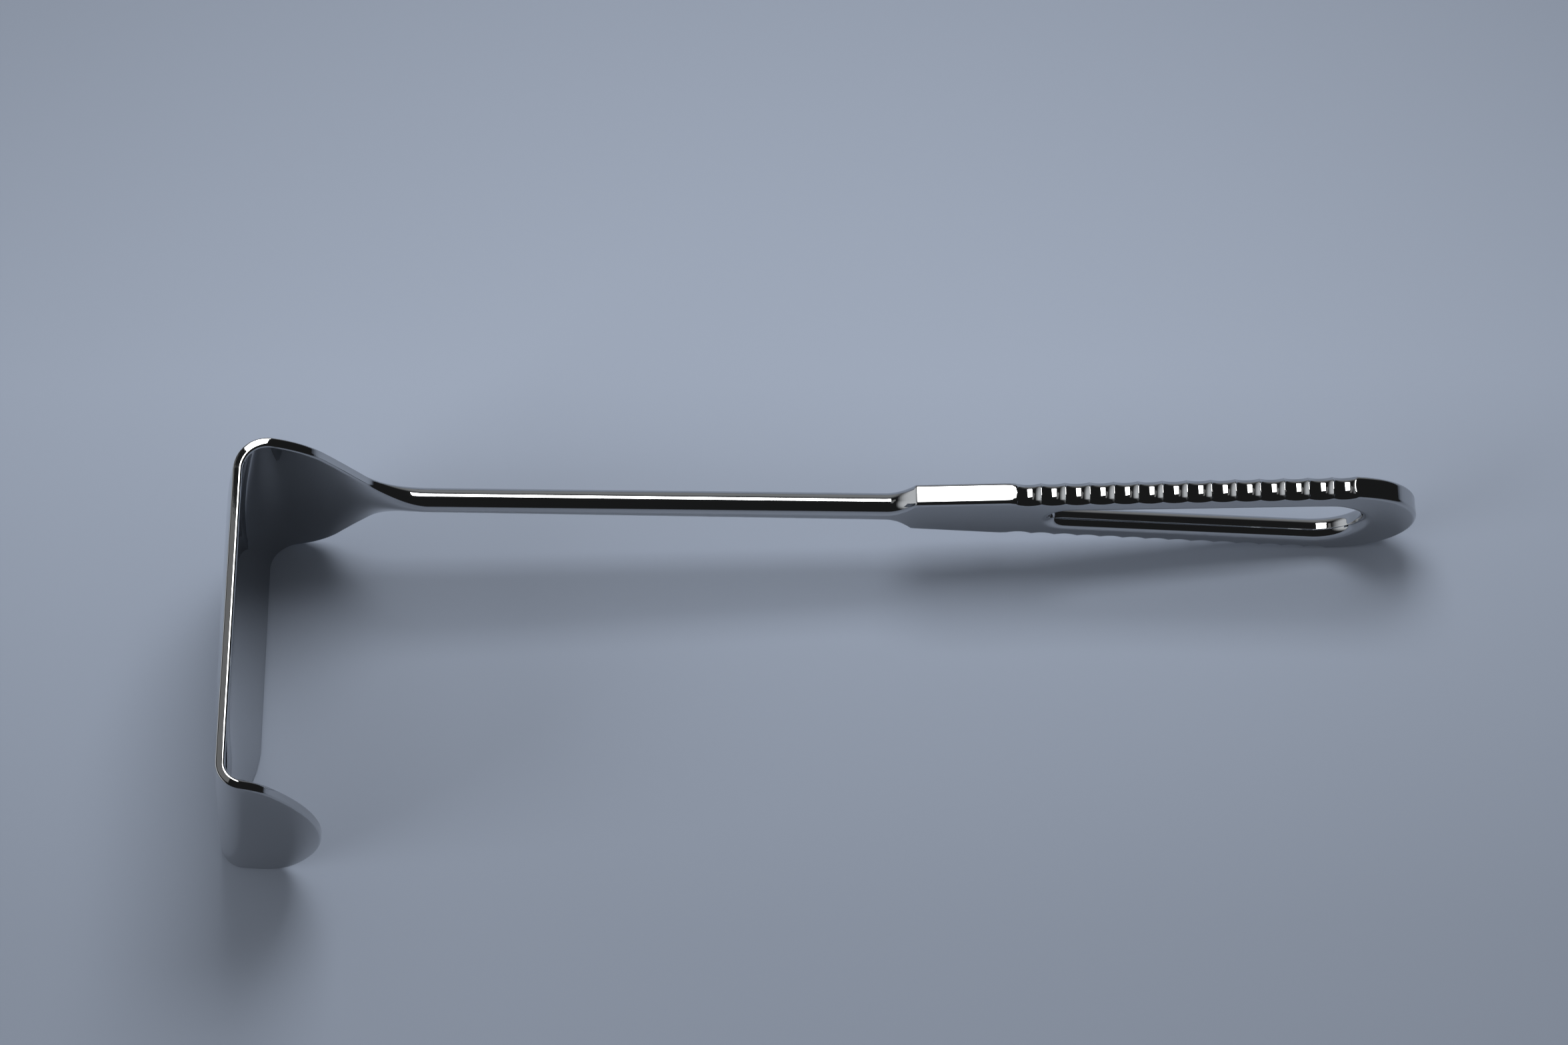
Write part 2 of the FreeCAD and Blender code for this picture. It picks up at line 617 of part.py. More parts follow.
bind(slot, Sketcher.Constraint("Radius", narrow, small), "narrow", "Sizes.slot_small_radius")
bind(slot, Sketcher.Constraint("Radius", wide, large), "wide", "Sizes.slot_large_radius")
bind(slot, Sketcher.Constraint("DistanceX", *ORIGIN, narrow, CENTRE, slot_small), "start",
     "Sizes.slot_start + Sizes.slot_small_radius")
bind(slot, Sketcher.Constraint("DistanceX", *ORIGIN, wide, CENTRE, slot_large), "end",
     "Sizes.handle_end - Sizes.slot_bridge - Sizes.slot_large_radius")
slot_cut = body.newObject("PartDesign::Pocket", "SlotCut")
slot_cut.Profile = slot
slot_cut.SideType = "Symmetric"
slot_cut.setExpression("Length", "2 * Sizes.handle_thickness")
doc.recompute()

# Every long edge of the handle and its slot is rounded
half_handle = handle_thickness / 2.0


def on_handle_face(point):
    return abs(abs(point.y) - half_handle) < NEAR and point.x > handle_start - NEAR


def long_edges(shape):
    """Names of the edges round the handle's two faces, without the two across its start."""
    names = []
    for number, edge in enumerate(shape.Edges, start=1):
        points = edge.discretize(5)
        across = all(abs(point.x - handle_start) < NEAR for point in points)
        if all(on_handle_face(point) for point in points) and not across:
            names.append("Edge%d" % number)
    return names


rounding = body.newObject("PartDesign::Fillet", "HandleRounding")
rounding.Base = (slot_cut, long_edges(slot_cut.Shape))
rounding.setExpression("Radius", "Sizes.handle_edge_round")
doc.recompute()

# Flutes: one scallop turned by a cutter that stands beside the edge and widens at both faces,
# repeated along the taper and mirrored to the other edge
flute_radius = size("flute_radius")
flute_chamfer = size("flute_chamfer")
cutter_clearance = 1.0
cutter_top = half_handle + cutter_clearance
cutter_reach = flute_radius + flute_chamfer + cutter_clearance
cutter_level = half_handle - flute_chamfer

cutter = new_sketch(body, "FluteCutter", "XY_Plane")
stand_off = "(Sizes.flute_radius - Sizes.flute_depth)"
cutter.setExpression("AttachmentOffset.Base.x",
                     "Sizes.handle_start + Sizes.flute_first * cos(Sizes.handle_taper)"
                     " - %s * sin(Sizes.handle_taper)" % stand_off)
cutter.setExpression("AttachmentOffset.Base.z",
                     "Sizes.handle_start_width / 2 + Sizes.flute_first * sin(Sizes.handle_taper)"
                     " + %s * cos(Sizes.handle_taper)" % stand_off)
corners = [(0.0, cutter_top), (0.0, -cutter_top), (cutter_reach, -cutter_top),
           (flute_radius, -cutter_level), (flute_radius, cutter_level),
           (cutter_reach, cutter_top)]
sides = [line(cutter, start, end) for start, end in zip(corners, corners[1:] + corners[:1])]
axis, bottom, lower_chamfer, middle, upper_chamfer, top = sides
for first, second in zip(sides, sides[1:] + sides[:1]):
    cutter.addConstraint(Sketcher.Constraint("Coincident", first, END, second, START))
cutter.addConstraint(Sketcher.Constraint("Vertical", axis))
for edge in (bottom, top):
    cutter.addConstraint(Sketcher.Constraint("Horizontal", edge))
cutter.addConstraint(Sketcher.Constraint("PointOnObject", axis, START, Y_AXIS))
cutter.addConstraint(Sketcher.Constraint("Symmetric", middle, START, middle, END, X_AXIS))
cutter.addConstraint(Sketcher.Constraint("Symmetric", bottom, END, top, START, X_AXIS))
bind(cutter, Sketcher.Constraint("DistanceX", *ORIGIN, middle, END, flute_radius), "radius",
     "Sizes.flute_radius")
bind(cutter, Sketcher.Constraint("DistanceX", *ORIGIN, top, START, cutter_reach), "reach",
     "Sizes.flute_radius + Sizes.flute_chamfer + %s" % cutter_clearance)
bind(cutter, Sketcher.Constraint("DistanceY", *ORIGIN, middle, END, cutter_level), "level",
     "Sizes.handle_thickness / 2 - Sizes.flute_chamfer")
bind(cutter, Sketcher.Constraint("DistanceY", *ORIGIN, top, START, cutter_top), "top",
     "Sizes.handle_thickness / 2 + %s" % cutter_clearance)

scallop = body.newObject("PartDesign::Groove", "Scallop")
scallop.Profile = cutter
scallop.ReferenceAxis = (cutter, ["V_Axis"])
scallop.Angle = 360.0
doc.recompute()

flutes = body.newObject("PartDesign::MultiTransform", "Flutes")
flutes.Originals = [scallop]
along_edge = body.newObject("PartDesign::LinearPattern", "AlongEdge")
along_edge.Direction = (bar, ["Axis0"])
along_edge.setExpression("Length", "(Sizes.flute_count - 1) * Sizes.flute_pitch")
along_edge.setExpression("Occurrences", "Sizes.flute_count")
to_other_edge = body.newObject("PartDesign::Mirrored", "ToOtherEdge")
to_other_edge.MirrorPlane = (plane_of(body, "XY_Plane"), [""])
flutes.Transformations = [along_edge, to_other_edge]
body.Tip = flutes
doc.recompute()

# Resting pose: laid on its side, on the lip's and the shoulder's lower corners and on the
# lower edge of the handle. First a turn about the blade's depth, then a small roll about X.
shoulder_side_centre = (corner_start, corner_radius - half_blade)
lower_side_centre = (side_centre[0], -side_centre[1])
run = lower_side_centre[0] - shoulder_side_centre[0]
rise = lower_side_centre[1] - shoulder_side_centre[1]
turn_down = atan2(rise, run) + asin((corner_radius - side_radius) / hypot(run, rise))
shoulder_drop = (corner_radius + shoulder_side_centre[0] * sin(turn_down)
                 - shoulder_side_centre[1] * cos(turn_down))
lip_drop = (lip_corner + lip_root * sin(turn_down)
            + (half_lip - lip_corner) * cos(turn_down))
roll = atan2(lip_drop - shoulder_drop, size("blade_depth"))

lay = FreeCAD.Rotation(V(1.0, 0.0, 0.0), -degrees(roll)).multiply(
    FreeCAD.Rotation(V(0.0, 1.0, 0.0), degrees(turn_down)))
body.Placement = FreeCAD.Placement(V(0.0, 0.0, 0.0), lay)
doc.recompute()
box = body.Shape.optimalBoundingBox(False)
body.Placement = FreeCAD.Placement(V(-box.Center.x, -box.Center.y, -box.ZMin), lay)
doc.recompute()

for feature in doc.Objects:
    if "Invalid" in feature.State or "Error" in feature.State:
        raise RuntimeError("%s did not compute" % feature.Label)
if body.Shape.isNull() or not body.Shape.isValid() or len(body.Shape.Solids) != 1:
    raise RuntimeError("the retractor is not one sound solid")

os.makedirs("parts", exist_ok=True)
body.Shape.exportStep("parts/retractor.step")
print("retractor: %.1f mm3, %.1f x %.1f x %.1f mm" % (
    body.Shape.Volume, box.XLength, box.YLength, box.ZLength))
print("turned %.3f degrees, rolled %.3f degrees" % (degrees(turn_down), degrees(roll)))
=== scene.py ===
# %% [markdown]
# A handheld surgical retractor, polished to a mirror, laid on its side on a pale table.
# The real one is a single forging: a round sided shaft spreads into a thin shoulder, turns down
# into a dished blade and ends in a small lip. At the other end is a flat handle with a slot and
# scalloped edges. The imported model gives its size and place. This lesson builds the same form
# with finer curves, because a mirror shows every flat facet, and gives it its finish and light.

from math import acos, asin, atan, atan2, cos, degrees, hypot, radians, sin, sqrt, tan

import bmesh
import bpy
from mathutils import Matrix, Vector
from mathutils.geometry import tessellate_polygon


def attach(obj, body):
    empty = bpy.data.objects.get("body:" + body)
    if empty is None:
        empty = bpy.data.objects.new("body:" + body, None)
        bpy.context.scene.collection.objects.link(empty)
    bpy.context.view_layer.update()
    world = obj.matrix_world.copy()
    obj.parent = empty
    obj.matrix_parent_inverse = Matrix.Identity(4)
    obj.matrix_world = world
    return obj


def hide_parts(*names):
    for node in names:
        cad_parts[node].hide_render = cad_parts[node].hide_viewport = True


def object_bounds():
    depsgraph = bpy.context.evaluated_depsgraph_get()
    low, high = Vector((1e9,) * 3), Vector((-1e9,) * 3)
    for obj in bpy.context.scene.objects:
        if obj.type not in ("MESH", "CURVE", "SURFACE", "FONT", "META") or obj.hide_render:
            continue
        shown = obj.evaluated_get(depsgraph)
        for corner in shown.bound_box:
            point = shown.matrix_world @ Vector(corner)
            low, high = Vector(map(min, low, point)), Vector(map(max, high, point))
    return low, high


MM = 0.001

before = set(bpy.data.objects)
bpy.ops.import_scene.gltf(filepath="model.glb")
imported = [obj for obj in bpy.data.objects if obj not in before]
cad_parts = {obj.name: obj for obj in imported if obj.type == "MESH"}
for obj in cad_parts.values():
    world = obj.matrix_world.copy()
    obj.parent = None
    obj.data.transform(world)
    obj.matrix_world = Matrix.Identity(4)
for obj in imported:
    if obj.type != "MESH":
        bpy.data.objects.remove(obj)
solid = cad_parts["retractor"]
cad_box = [list(corner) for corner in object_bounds()]
print("frame:", len(solid.data.polygons), "faces, box", cad_box)

# %% [markdown]
# The camera stands over the near side of the table and looks steeply down. Its lens and place
# were worked out from the instrument's outline, so it is turned a little about its own axis.

# %% Camera
VIEW_ELEVATION = 70.51
VIEW_AZIMUTH = -0.097
VIEW_ROLL = -0.374
VIEW_DISTANCE = 670.5 * MM
VIEW_TARGET = Vector((-7.5, 38.054, 0.0)) * MM
SENSOR_WIDTH = 36.0
FOCAL_PIXELS = 4691.6
PICTURE_WIDTH = 2352.0
LENS = FOCAL_PIXELS / PICTURE_WIDTH * SENSOR_WIDTH


def look(elevation, azimuth, roll, distance, target):
    """World matrix of a camera that looks at a point on the table."""
    e = radians(elevation)
    forward = Vector((0.0, cos(e), -sin(e)))
    up = Vector((0.0, sin(e), cos(e)))
    right = Vector((1.0, 0.0, 0.0))
    rolled_right = cos(radians(roll)) * right + sin(radians(roll)) * up
    rolled_up = -sin(radians(roll)) * right + cos(radians(roll)) * up
    turn = Matrix.Rotation(radians(azimuth), 3, "Z")
    axes = [turn @ axis for axis in (rolled_right, rolled_up, -forward)]
    matrix = Matrix(axes).transposed().to_4x4()
    matrix.translation = target - distance * (turn @ forward)
    return matrix


camera_data = bpy.data.cameras.new("camera")
camera_data.sensor_width = SENSOR_WIDTH
camera_data.lens = LENS
camera_data.clip_start = 0.01
camera = bpy.data.objects.new("camera", camera_data)
camera.matrix_world = look(VIEW_ELEVATION, VIEW_AZIMUTH, VIEW_ROLL, VIEW_DISTANCE, VIEW_TARGET)
bpy.context.scene.collection.objects.link(camera)
bpy.context.scene.camera = camera
bpy.context.scene.view_settings.view_transform = "Standard"
print("camera: lens %.1f mm, %.0f mm from the table" % (LENS, VIEW_DISTANCE / MM))

# %% [markdown]
# The real plate is one sheet of steel with softly rounded edges. It could be modelled as a box
# and bent with modifiers, but a bend by rule keeps its exact radii: every ring of points is a
# cross section, square to the path that the metal takes. A section has two faces, which may be
# bowed, and two narrow sides, joined by four small rounded corners. Each corner has several
# points, and a support point lies just inside each face, so the face stays truly flat in a
# reflection.

# %% Sections
ACROSS = 40
SUPPORT = 0.3
CORNER_ANGLES = [radians(a) for a in (0.0, 15.0, 30.0, 45.0, 57.0, 68.0, 79.0, 90.0)]
SIDE_SHARES = (0.04, 0.15, 0.32, 0.5, 0.68, 0.85, 0.96)
QUARTER = radians(90.0)


def ease(value, start, end):
    """0 before start, 1 after end and a smooth rise between them."""
    share = min(1.0, max(0.0, (value - start) / (end - start)))
    return share * share * (3.0 - 2.0 * share)


def blend(first, second, share):
    return first + (second - first) * share


def spaced(start, end, count):
    return [start + (end - start) * i / count for i in range(count + 1)]


def face_shares(width):
    """Places of the points across a face of this width, 0 to 1, with a support at each end."""
    edge = min(0.2, SUPPORT / width)
    return [0.0] + spaced(edge, 1.0 - edge, ACROSS - 2) + [1.0]

# %% One section


def section(half_width, thickness, offset, crown, outer_round, inner_round):
    """Points of a section as (out, side), round from the outer face at the lower side."""
    half = thickness / 2.0
    outer_tilt = 2.0 * atan((offset + crown) / (half_width - outer_round))
    inner_tilt = 2.0 * atan((offset - crown) / (half_width - inner_round))

    def corner(centre_out, centre_side, radius, start, turn, backward):
        angles = [start + turn * a / QUARTER for a in CORNER_ANGLES]
        if backward:
            angles = [start + turn - turn * a / QUARTER for a in reversed(CORNER_ANGLES)]
        return [(centre_out + radius * cos(a), centre_side + radius * sin(a)) for a in angles]

    def face(first, last, rise):
        row = []
        for share in face_shares(abs(last[1] - first[1])):
            row.append((blend(first[0], last[0], share) + 4.0 * rise * share * (1.0 - share),
                        blend(first[1], last[1], share)))
        return row

    def side(first, last):
        return [(blend(first[0], last[0], share), blend(first[1], last[1], share))
                for share in SIDE_SHARES]

    outer_side = half_width - outer_round
    inner_side = half_width - inner_round
    right_outer = corner(half - outer_round, outer_side, outer_round,
                         outer_tilt, QUARTER - outer_tilt, False)
    right_inner = corner(-half + inner_round, inner_side, inner_round,
                         QUARTER, QUARTER + inner_tilt, True)
    left_inner = [(out, -place) for out, place in reversed(right_inner)]
    left_outer = [(out, -place) for out, place in reversed(right_outer)]
    outer_rise = (outer_side + outer_round * sin(outer_tilt)) * tan(outer_tilt) / 2.0
    inner_rise = (inner_side - inner_round * sin(inner_tilt)) * tan(inner_tilt) / 2.0
    return (face(left_outer[-1], right_outer[0], outer_rise)
            + right_outer[1:] + side(right_outer[-1], right_inner[0]) + right_inner[:-1]
            + face(right_inner[-1], left_inner[0], inner_rise)
            + left_inner[1:] + side(left_inner[-1], left_outer[0]) + left_outer[:-1])


RING = len(section(10.0, 2.0, 0.0, 0.0, 0.3, 0.3))
RIM = len(CORNER_ANGLES) * 2 - 2 + len(SIDE_SHARES)
print("section:", RING, "points, of which", RIM, "lie between the faces on each side")

# %% [markdown]
# The shaft, shoulder and blade follow a path that runs from the handle, along the shaft, round
# the shoulder bend and down the blade. The sizes are those of the real part in millimetres.
# The shoulder's outline is a corner arc, a straight side and a hollow arc into the shaft.

# %% Shaft, shoulder and blade
PLATE = 1.9
HALF_PLATE = PLATE / 2.0
OUTER_ROUND = 0.35
INNER_ROUND = 0.6
BLADE_DEPTH = 70.2
HALF_BLADE = 59.2 / 2.0
HALF_LIP = 61.4 / 2.0
DISH = 3.3
SHOULDER_BOW = 1.3
SHOULDER_LEVEL = -1.0
EDGE_BEND = 5.4 + HALF_PLATE
MIDDLE_BEND = 8.5 + HALF_PLATE
CORNER_START = 0.4
CORNER_RADIUS = 19.5
SLOPE = radians(57.0)
NECK_RADIUS = 15.5
HALF_NECK = 5.3 / 2.0
SHAFT_WIDTH = 6.7
SHAFT_THICKNESS = 4.9
SHAFT_ROUND = 0.498 * SHAFT_THICKNESS
SHAFT_FLARE = 6.0
HANDLE_START = 136.8
HALF_HANDLE_START = 14.2 / 2.0
HANDLE_THICKNESS = 4.7
HANDLE_ROUND = 0.8

corner_end = CORNER_START + CORNER_RADIUS * sin(SLOPE)
corner_drop = CORNER_RADIUS * (1.0 - cos(SLOPE))
neck_rise = NECK_RADIUS * (1.0 - cos(SLOPE))
neck_start = corner_end + (HALF_BLADE - corner_drop - neck_rise - HALF_NECK) / tan(SLOPE)
neck_end = neck_start + NECK_RADIUS * sin(SLOPE)
flare_start = HANDLE_START - SHAFT_FLARE
bend_centre = (HALF_PLATE + EDGE_BEND, SHOULDER_LEVEL + EDGE_BEND)
middle_centre = (HALF_PLATE - DISH + MIDDLE_BEND, SHOULDER_LEVEL - SHOULDER_BOW + MIDDLE_BEND)
BACKWARD = (0.0, -1.0)
OUTWARD = (-1.0, 0.0)

# %% [markdown]
# The next helpers give the outline's half width and how far the plate is bowed at any place
# on the path. They follow the arcs and straight lines of the real outline, so every ring
# lies on the true shape however many rings there are.

# %% Outline and bow


def shoulder_half_width(x):
    if x <= CORNER_START:
        return HALF_BLADE
    if x <= corner_end:
        return HALF_BLADE - CORNER_RADIUS + sqrt(CORNER_RADIUS ** 2 - (x - CORNER_START) ** 2)
    if x <= neck_start:
        return HALF_BLADE - corner_drop - (x - corner_end) * tan(SLOPE)
    if x <= neck_end:
        return HALF_NECK + NECK_RADIUS - sqrt(NECK_RADIUS ** 2 - (neck_end - x) ** 2)
    return HALF_NECK


def middle_offset(x, depth, normal):
    """How far the middle of a section stands out from its edges, toward the outer face."""
    dx = x - middle_centre[0]
    dv = depth - middle_centre[1]
    if normal == BACKWARD and dx >= 0.0:
        return SHOULDER_BOW * (1.0 - ease(x, middle_centre[0], neck_start))
    if normal == OUTWARD and dv >= 0.0:
        return DISH
    along = dx * normal[0] + dv * normal[1]
    return -along + sqrt(along ** 2 - dx ** 2 - dv ** 2 + MIDDLE_BEND ** 2)


def placed(x, depth, normal, points):
    """A section's points in the part's own frame: along the handle, down from it, across."""
    return [Vector((x + out * normal[0], -(depth + out * normal[1]), side))
            for out, side in points]

# %% [markdown]
# A bar, a spreading shoulder and a bend need different rings, so each has its own rule. All
# of them have the same count of points, which lets the skin run on from one to the next.

# %% Rings of the shaft, shoulder and bend


def shaft_ring(x):
    share = min(1.0, (x - neck_end) / (flare_start - neck_end))
    flare = max(0.0, (x - flare_start) / SHAFT_FLARE) ** 2
    half_width = blend(blend(HALF_NECK, SHAFT_WIDTH / 2.0, share), HALF_HANDLE_START, flare)
    thickness = blend(SHAFT_THICKNESS, HANDLE_THICKNESS, flare)
    corner = blend(SHAFT_ROUND, HANDLE_ROUND, flare)
    return placed(x, 0.0, BACKWARD, section(half_width, thickness, 0.0, 0.0, corner, corner))


def shoulder_ring(x):
    middle = blend(PLATE, SHAFT_THICKNESS, ease(x, corner_end, neck_end))
    edge = blend(PLATE, SHAFT_THICKNESS, ease(x, neck_start, neck_end))
    rounding = ease(x, neck_start, neck_end)
    depth = blend(SHOULDER_LEVEL, 0.0, ease(x, corner_end, neck_end))
    points = section(shoulder_half_width(x), edge, middle_offset(x, depth, BACKWARD),
                     (middle - edge) / 2.0, blend(OUTER_ROUND, SHAFT_ROUND, rounding),
                     blend(INNER_ROUND, SHAFT_ROUND, rounding))
    return placed(x, depth, BACKWARD, points)


def bend_ring(turn):
    normal = (-sin(turn), -cos(turn))
    x = bend_centre[0] + EDGE_BEND * normal[0]
    depth = bend_centre[1] + EDGE_BEND * normal[1]
    points = section(shoulder_half_width(x), PLATE, middle_offset(x, depth, normal), 0.0,
                     OUTER_ROUND, INNER_ROUND)
    return placed(x, depth, normal, points)


rings = [shaft_ring(x) for x in spaced(HANDLE_START, flare_start, 14)]
rings += [shaft_ring(x) for x in spaced(flare_start, neck_end, 16)[1:]]
rings += [shoulder_ring(x) for x in spaced(neck_end, neck_start, 22)[1:]]
rings += [shoulder_ring(x) for x in spaced(neck_start, corner_end, 6)[1:]]
rings += [shoulder_ring(x) for x in spaced(corner_end, bend_centre[0], 16)[1:]]
rings += [bend_ring(turn) for turn in spaced(0.0, QUARTER, 24)[1:]]
print("rings down to the blade:", len(rings))

# %% [markdown]
# Toward the lip the blade loses its dish, and the fold runs a little askew across it, so the
# lower end of the lip stands further out than the upper end. The skew is a shear: each point
# is drawn out in proportion to how far it lies below the upper side.

# %% Blade and fold
LIP_BEND = 3.4 + HALF_PLATE
LIP_TURN = radians(87.0)
LIP_BOW = 0.3
LIP_SKEW = 5.4
LIP_SKEW_RUN = 20.0
LIP_FLATTENING = 9.0
lip_centre = (HALF_PLATE + LIP_BEND, BLADE_DEPTH - HALF_PLATE - LIP_BEND)
skew_start = lip_centre[1] - LIP_SKEW_RUN
fold_length = LIP_BEND * LIP_TURN


def skewed(point, share):
    pull = share * LIP_SKEW / (2.0 * HALF_LIP)
    return point - Vector((pull * (HALF_LIP - point.z), 0.0, 0.0))


def blade_ring(depth):
    share = (depth - bend_centre[1]) / (lip_centre[1] - bend_centre[1])
    change = ease(depth, skew_start, lip_centre[1])
    offset = blend(middle_offset(HALF_PLATE, depth, OUTWARD), LIP_BOW, change)
    points = section(blend(HALF_BLADE, HALF_LIP, share), PLATE, offset, 0.0,
                     OUTER_ROUND, INNER_ROUND)
    return [skewed(point, change) for point in placed(HALF_PLATE, depth, OUTWARD, points)]


def lip_path(distance):
    """Middle of the plate and its outward direction, a distance beyond the fold's start."""
    turn = min(distance, fold_length) / LIP_BEND
    normal = (-cos(turn), sin(turn))
    beyond = max(0.0, distance - fold_length)
    x = lip_centre[0] + LIP_BEND * normal[0] + beyond * sin(turn)
    depth = lip_centre[1] + LIP_BEND * normal[1] + beyond * cos(turn)
    return x, depth, normal


def lip_point(distance, out, side):
    x, depth, normal = lip_path(distance)
    fade = 1.0 - ease(distance - fold_length, 0.0, LIP_FLATTENING)
    out += LIP_BOW * fade * (1.0 - (side / HALF_LIP) ** 2)
    return skewed(placed(x, depth, normal, [(out, side)])[0], 1.0)


def fold_ring(distance):
    return [lip_point(distance, out, side)
            for out, side in section(HALF_LIP, PLATE, 0.0, 0.0, OUTER_ROUND, INNER_ROUND)]


rings += [blade_ring(d) for d in spaced(bend_centre[1], middle_centre[1], 6)[1:]]
rings += [blade_ring(d) for d in spaced(middle_centre[1], skew_start, 12)[1:]]
rings += [blade_ring(d) for d in spaced(skew_start, lip_centre[1], 18)[1:]]
TONGUE_START = 3.3
rings += [fold_ring(d) for d in spaced(0.0, TONGUE_START, 8)[1:]]
print("rings down to the lip:", len(rings))

# %% [markdown]
# The lip is a tongue with two rounded corners and a broad tip. More rings would run out to
# nothing at the tip, so its edge is made as one strip instead: the rounded profile of the
# plate's side, swept round the tongue's outline. The two faces are stretched between the last
# ring and the strip, by blending the four sides of each face.

# %% Tongue
LIP_REACH = 17.7
LIP_ROOT = 2.2
LIP_CORNER = 9.2
DOWN_THE_SIDE = 34
lip_run = LIP_REACH - LIP_ROOT
lip_tip = (lip_run ** 2 + HALF_LIP ** 2 - 2.0 * HALF_LIP * LIP_CORNER) / (
    2.0 * (lip_run - LIP_CORNER))
tip_middle = LIP_REACH - lip_tip
corner_angle = atan2(HALF_LIP - LIP_CORNER, LIP_ROOT - tip_middle)


def distance_at(x, side):
    """How far beyond the fold's start the plate has this x, at this place across it."""
    reach = x + LIP_SKEW * (HALF_LIP - side) / (2.0 * HALF_LIP)
    if reach < lip_path(fold_length)[0]:
        return LIP_BEND * acos((lip_centre[0] - reach) / LIP_BEND)
    return fold_length + (reach - lip_path(fold_length)[0]) / sin(LIP_TURN)


def tongue_outline():
    """The outline from the upper side round to the lower one, as (distance, side)."""
    outline = [(TONGUE_START, HALF_LIP)]
    for angle in spaced(QUARTER, corner_angle, 60):
        x = LIP_ROOT + LIP_CORNER * cos(angle)
        side = HALF_LIP - LIP_CORNER + LIP_CORNER * sin(angle)
        outline.append((distance_at(x, side), side))
    for angle in spaced(corner_angle, -corner_angle, 160)[1:]:
        outline.append((distance_at(tip_middle + lip_tip * cos(angle), lip_tip * sin(angle)),
                        lip_tip * sin(angle)))
    for angle in spaced(-corner_angle, -QUARTER, 60)[1:]:
        x = LIP_ROOT + LIP_CORNER * cos(angle)
        side = LIP_CORNER - HALF_LIP + LIP_CORNER * sin(angle)
        outline.append((distance_at(x, side), side))
    outline.append((TONGUE_START, -HALF_LIP))
    return [Vector(point) for point in outline]

# %% Points along the outline


def lengths_along(points):
    total = [0.0]
    for before, after in zip(points, points[1:]):
        total.append(total[-1] + (after - before).length)
    return total


def sampled(points, places):
    """Points of a polyline at these distances along it, each with its left hand normal."""
    total = lengths_along(points)
    found = []
    segment = 0
    for place in places:
        while segment < len(points) - 2 and total[segment + 1] < place:
            segment += 1
        step = points[segment + 1] - points[segment]
        share = (place - total[segment]) / (total[segment + 1] - total[segment])
        found.append(points[segment] + step * share)
    normals = []
    for number in range(len(found)):
        before = found[max(0, number - 1)]
        after = found[min(len(found) - 1, number + 1)]
        along = (after - before).normalized()
        normals.append(Vector((-along[1], along[0])))
    return found, normals


outline = tongue_outline()
outline_length = lengths_along(outline)
upper_middle = outline_length[31]
lower_middle = outline_length[-32]
stations = (spaced(0.0, upper_middle, DOWN_THE_SIDE)
            + spaced(upper_middle, lower_middle, ACROSS - 2)[1:]
            + spaced(lower_middle, outline_length[-1], DOWN_THE_SIDE)[1:])
rim_line, rim_normal = sampled(outline, stations)
rim_normal[0] = Vector((0.0, 1.0))
rim_normal[-1] = Vector((0.0, -1.0))

# %% [markdown]
# The strip is made next, and then the faces. A face is a grid between four sides: the last
# ring, the two long sides and the tip. Each inner point is blended from the four sides.

# %% Tongue's rim and faces


def rim_profile(half, outer_round, inner_round):
    """The rounded side of a plate as (inset, level), with a support point on each face."""
    outer = [(outer_round * (1.0 - sin(a)), half - outer_round * (1.0 - cos(a)))
             for a in CORNER_ANGLES]
    inner = [(inner_round * (1.0 - sin(a)), -half + inner_round * (1.0 - cos(a)))
             for a in reversed(CORNER_ANGLES)]
    side = [(0.0, blend(outer[-1][1], inner[0][1], share)) for share in SIDE_SHARES]
    return ([(outer_round + SUPPORT, half)] + outer + side + inner
            + [(inner_round + SUPPORT, -half)])


plate_profile = rim_profile(HALF_PLATE, OUTER_ROUND, INNER_ROUND)
tongue_rim = []
for point, normal in zip(rim_line, rim_normal):
    tongue_rim.append([lip_point(point[0] - normal[0] * inset, level, point[1] - normal[1] * inset)
                       for inset, level in plate_profile])
print("tongue: outline of %.1f mm, %d stations" % (outline_length[-1], len(stations)))


def tongue_face(inset, level):
    """Inner points of one face, row by row from the last ring to the tip."""
    edge = [point - normal * inset for point, normal in zip(rim_line, rim_normal)]
    upper = edge[:DOWN_THE_SIDE + 1]
    tip = edge[DOWN_THE_SIDE:DOWN_THE_SIDE + ACROSS - 1][::-1]
    lower = edge[DOWN_THE_SIDE + ACROSS - 2:][::-1]
    rows = []
    for down in range(1, DOWN_THE_SIDE):
        v = down / DOWN_THE_SIDE
        row = []
        for across in range(1, ACROSS - 2):
            u = across / (ACROSS - 2)
            start = blend(lower[0], upper[0], u)
            flat = (blend(start, tip[across], v) + blend(lower[down], upper[down], u)
                    - blend(start, blend(lower[-1], upper[-1], u), v))
            row.append(lip_point(flat[0], level, flat[1]))
        rows.append(row)
    return rows


outer_rows = tongue_face(*plate_profile[0])
inner_rows = tongue_face(*plate_profile[-1])
print("tongue faces: %d rows of %d points each" % (len(outer_rows), len(outer_rows[0])))

# %% [markdown]
# The handle is a flat bar with a rounded end. Its edge is made in the same way as the tongue's,
# as a strip swept round the outline. The grip is cut with scallops along both edges, a row
# that follows a rule, so it is left to Geometry Nodes: the plain strip carries what the rule
# needs as attributes on its points, and the tree pushes each point in to the bottom of the
# scallop that it falls in. On the real grip each scallop is ground by a round wheel and then
# polished, so its floor is crowned across the handle and falls away in a bevel at both faces.
# Count, pitch, radius, depth, crown and bevel stay open as inputs.

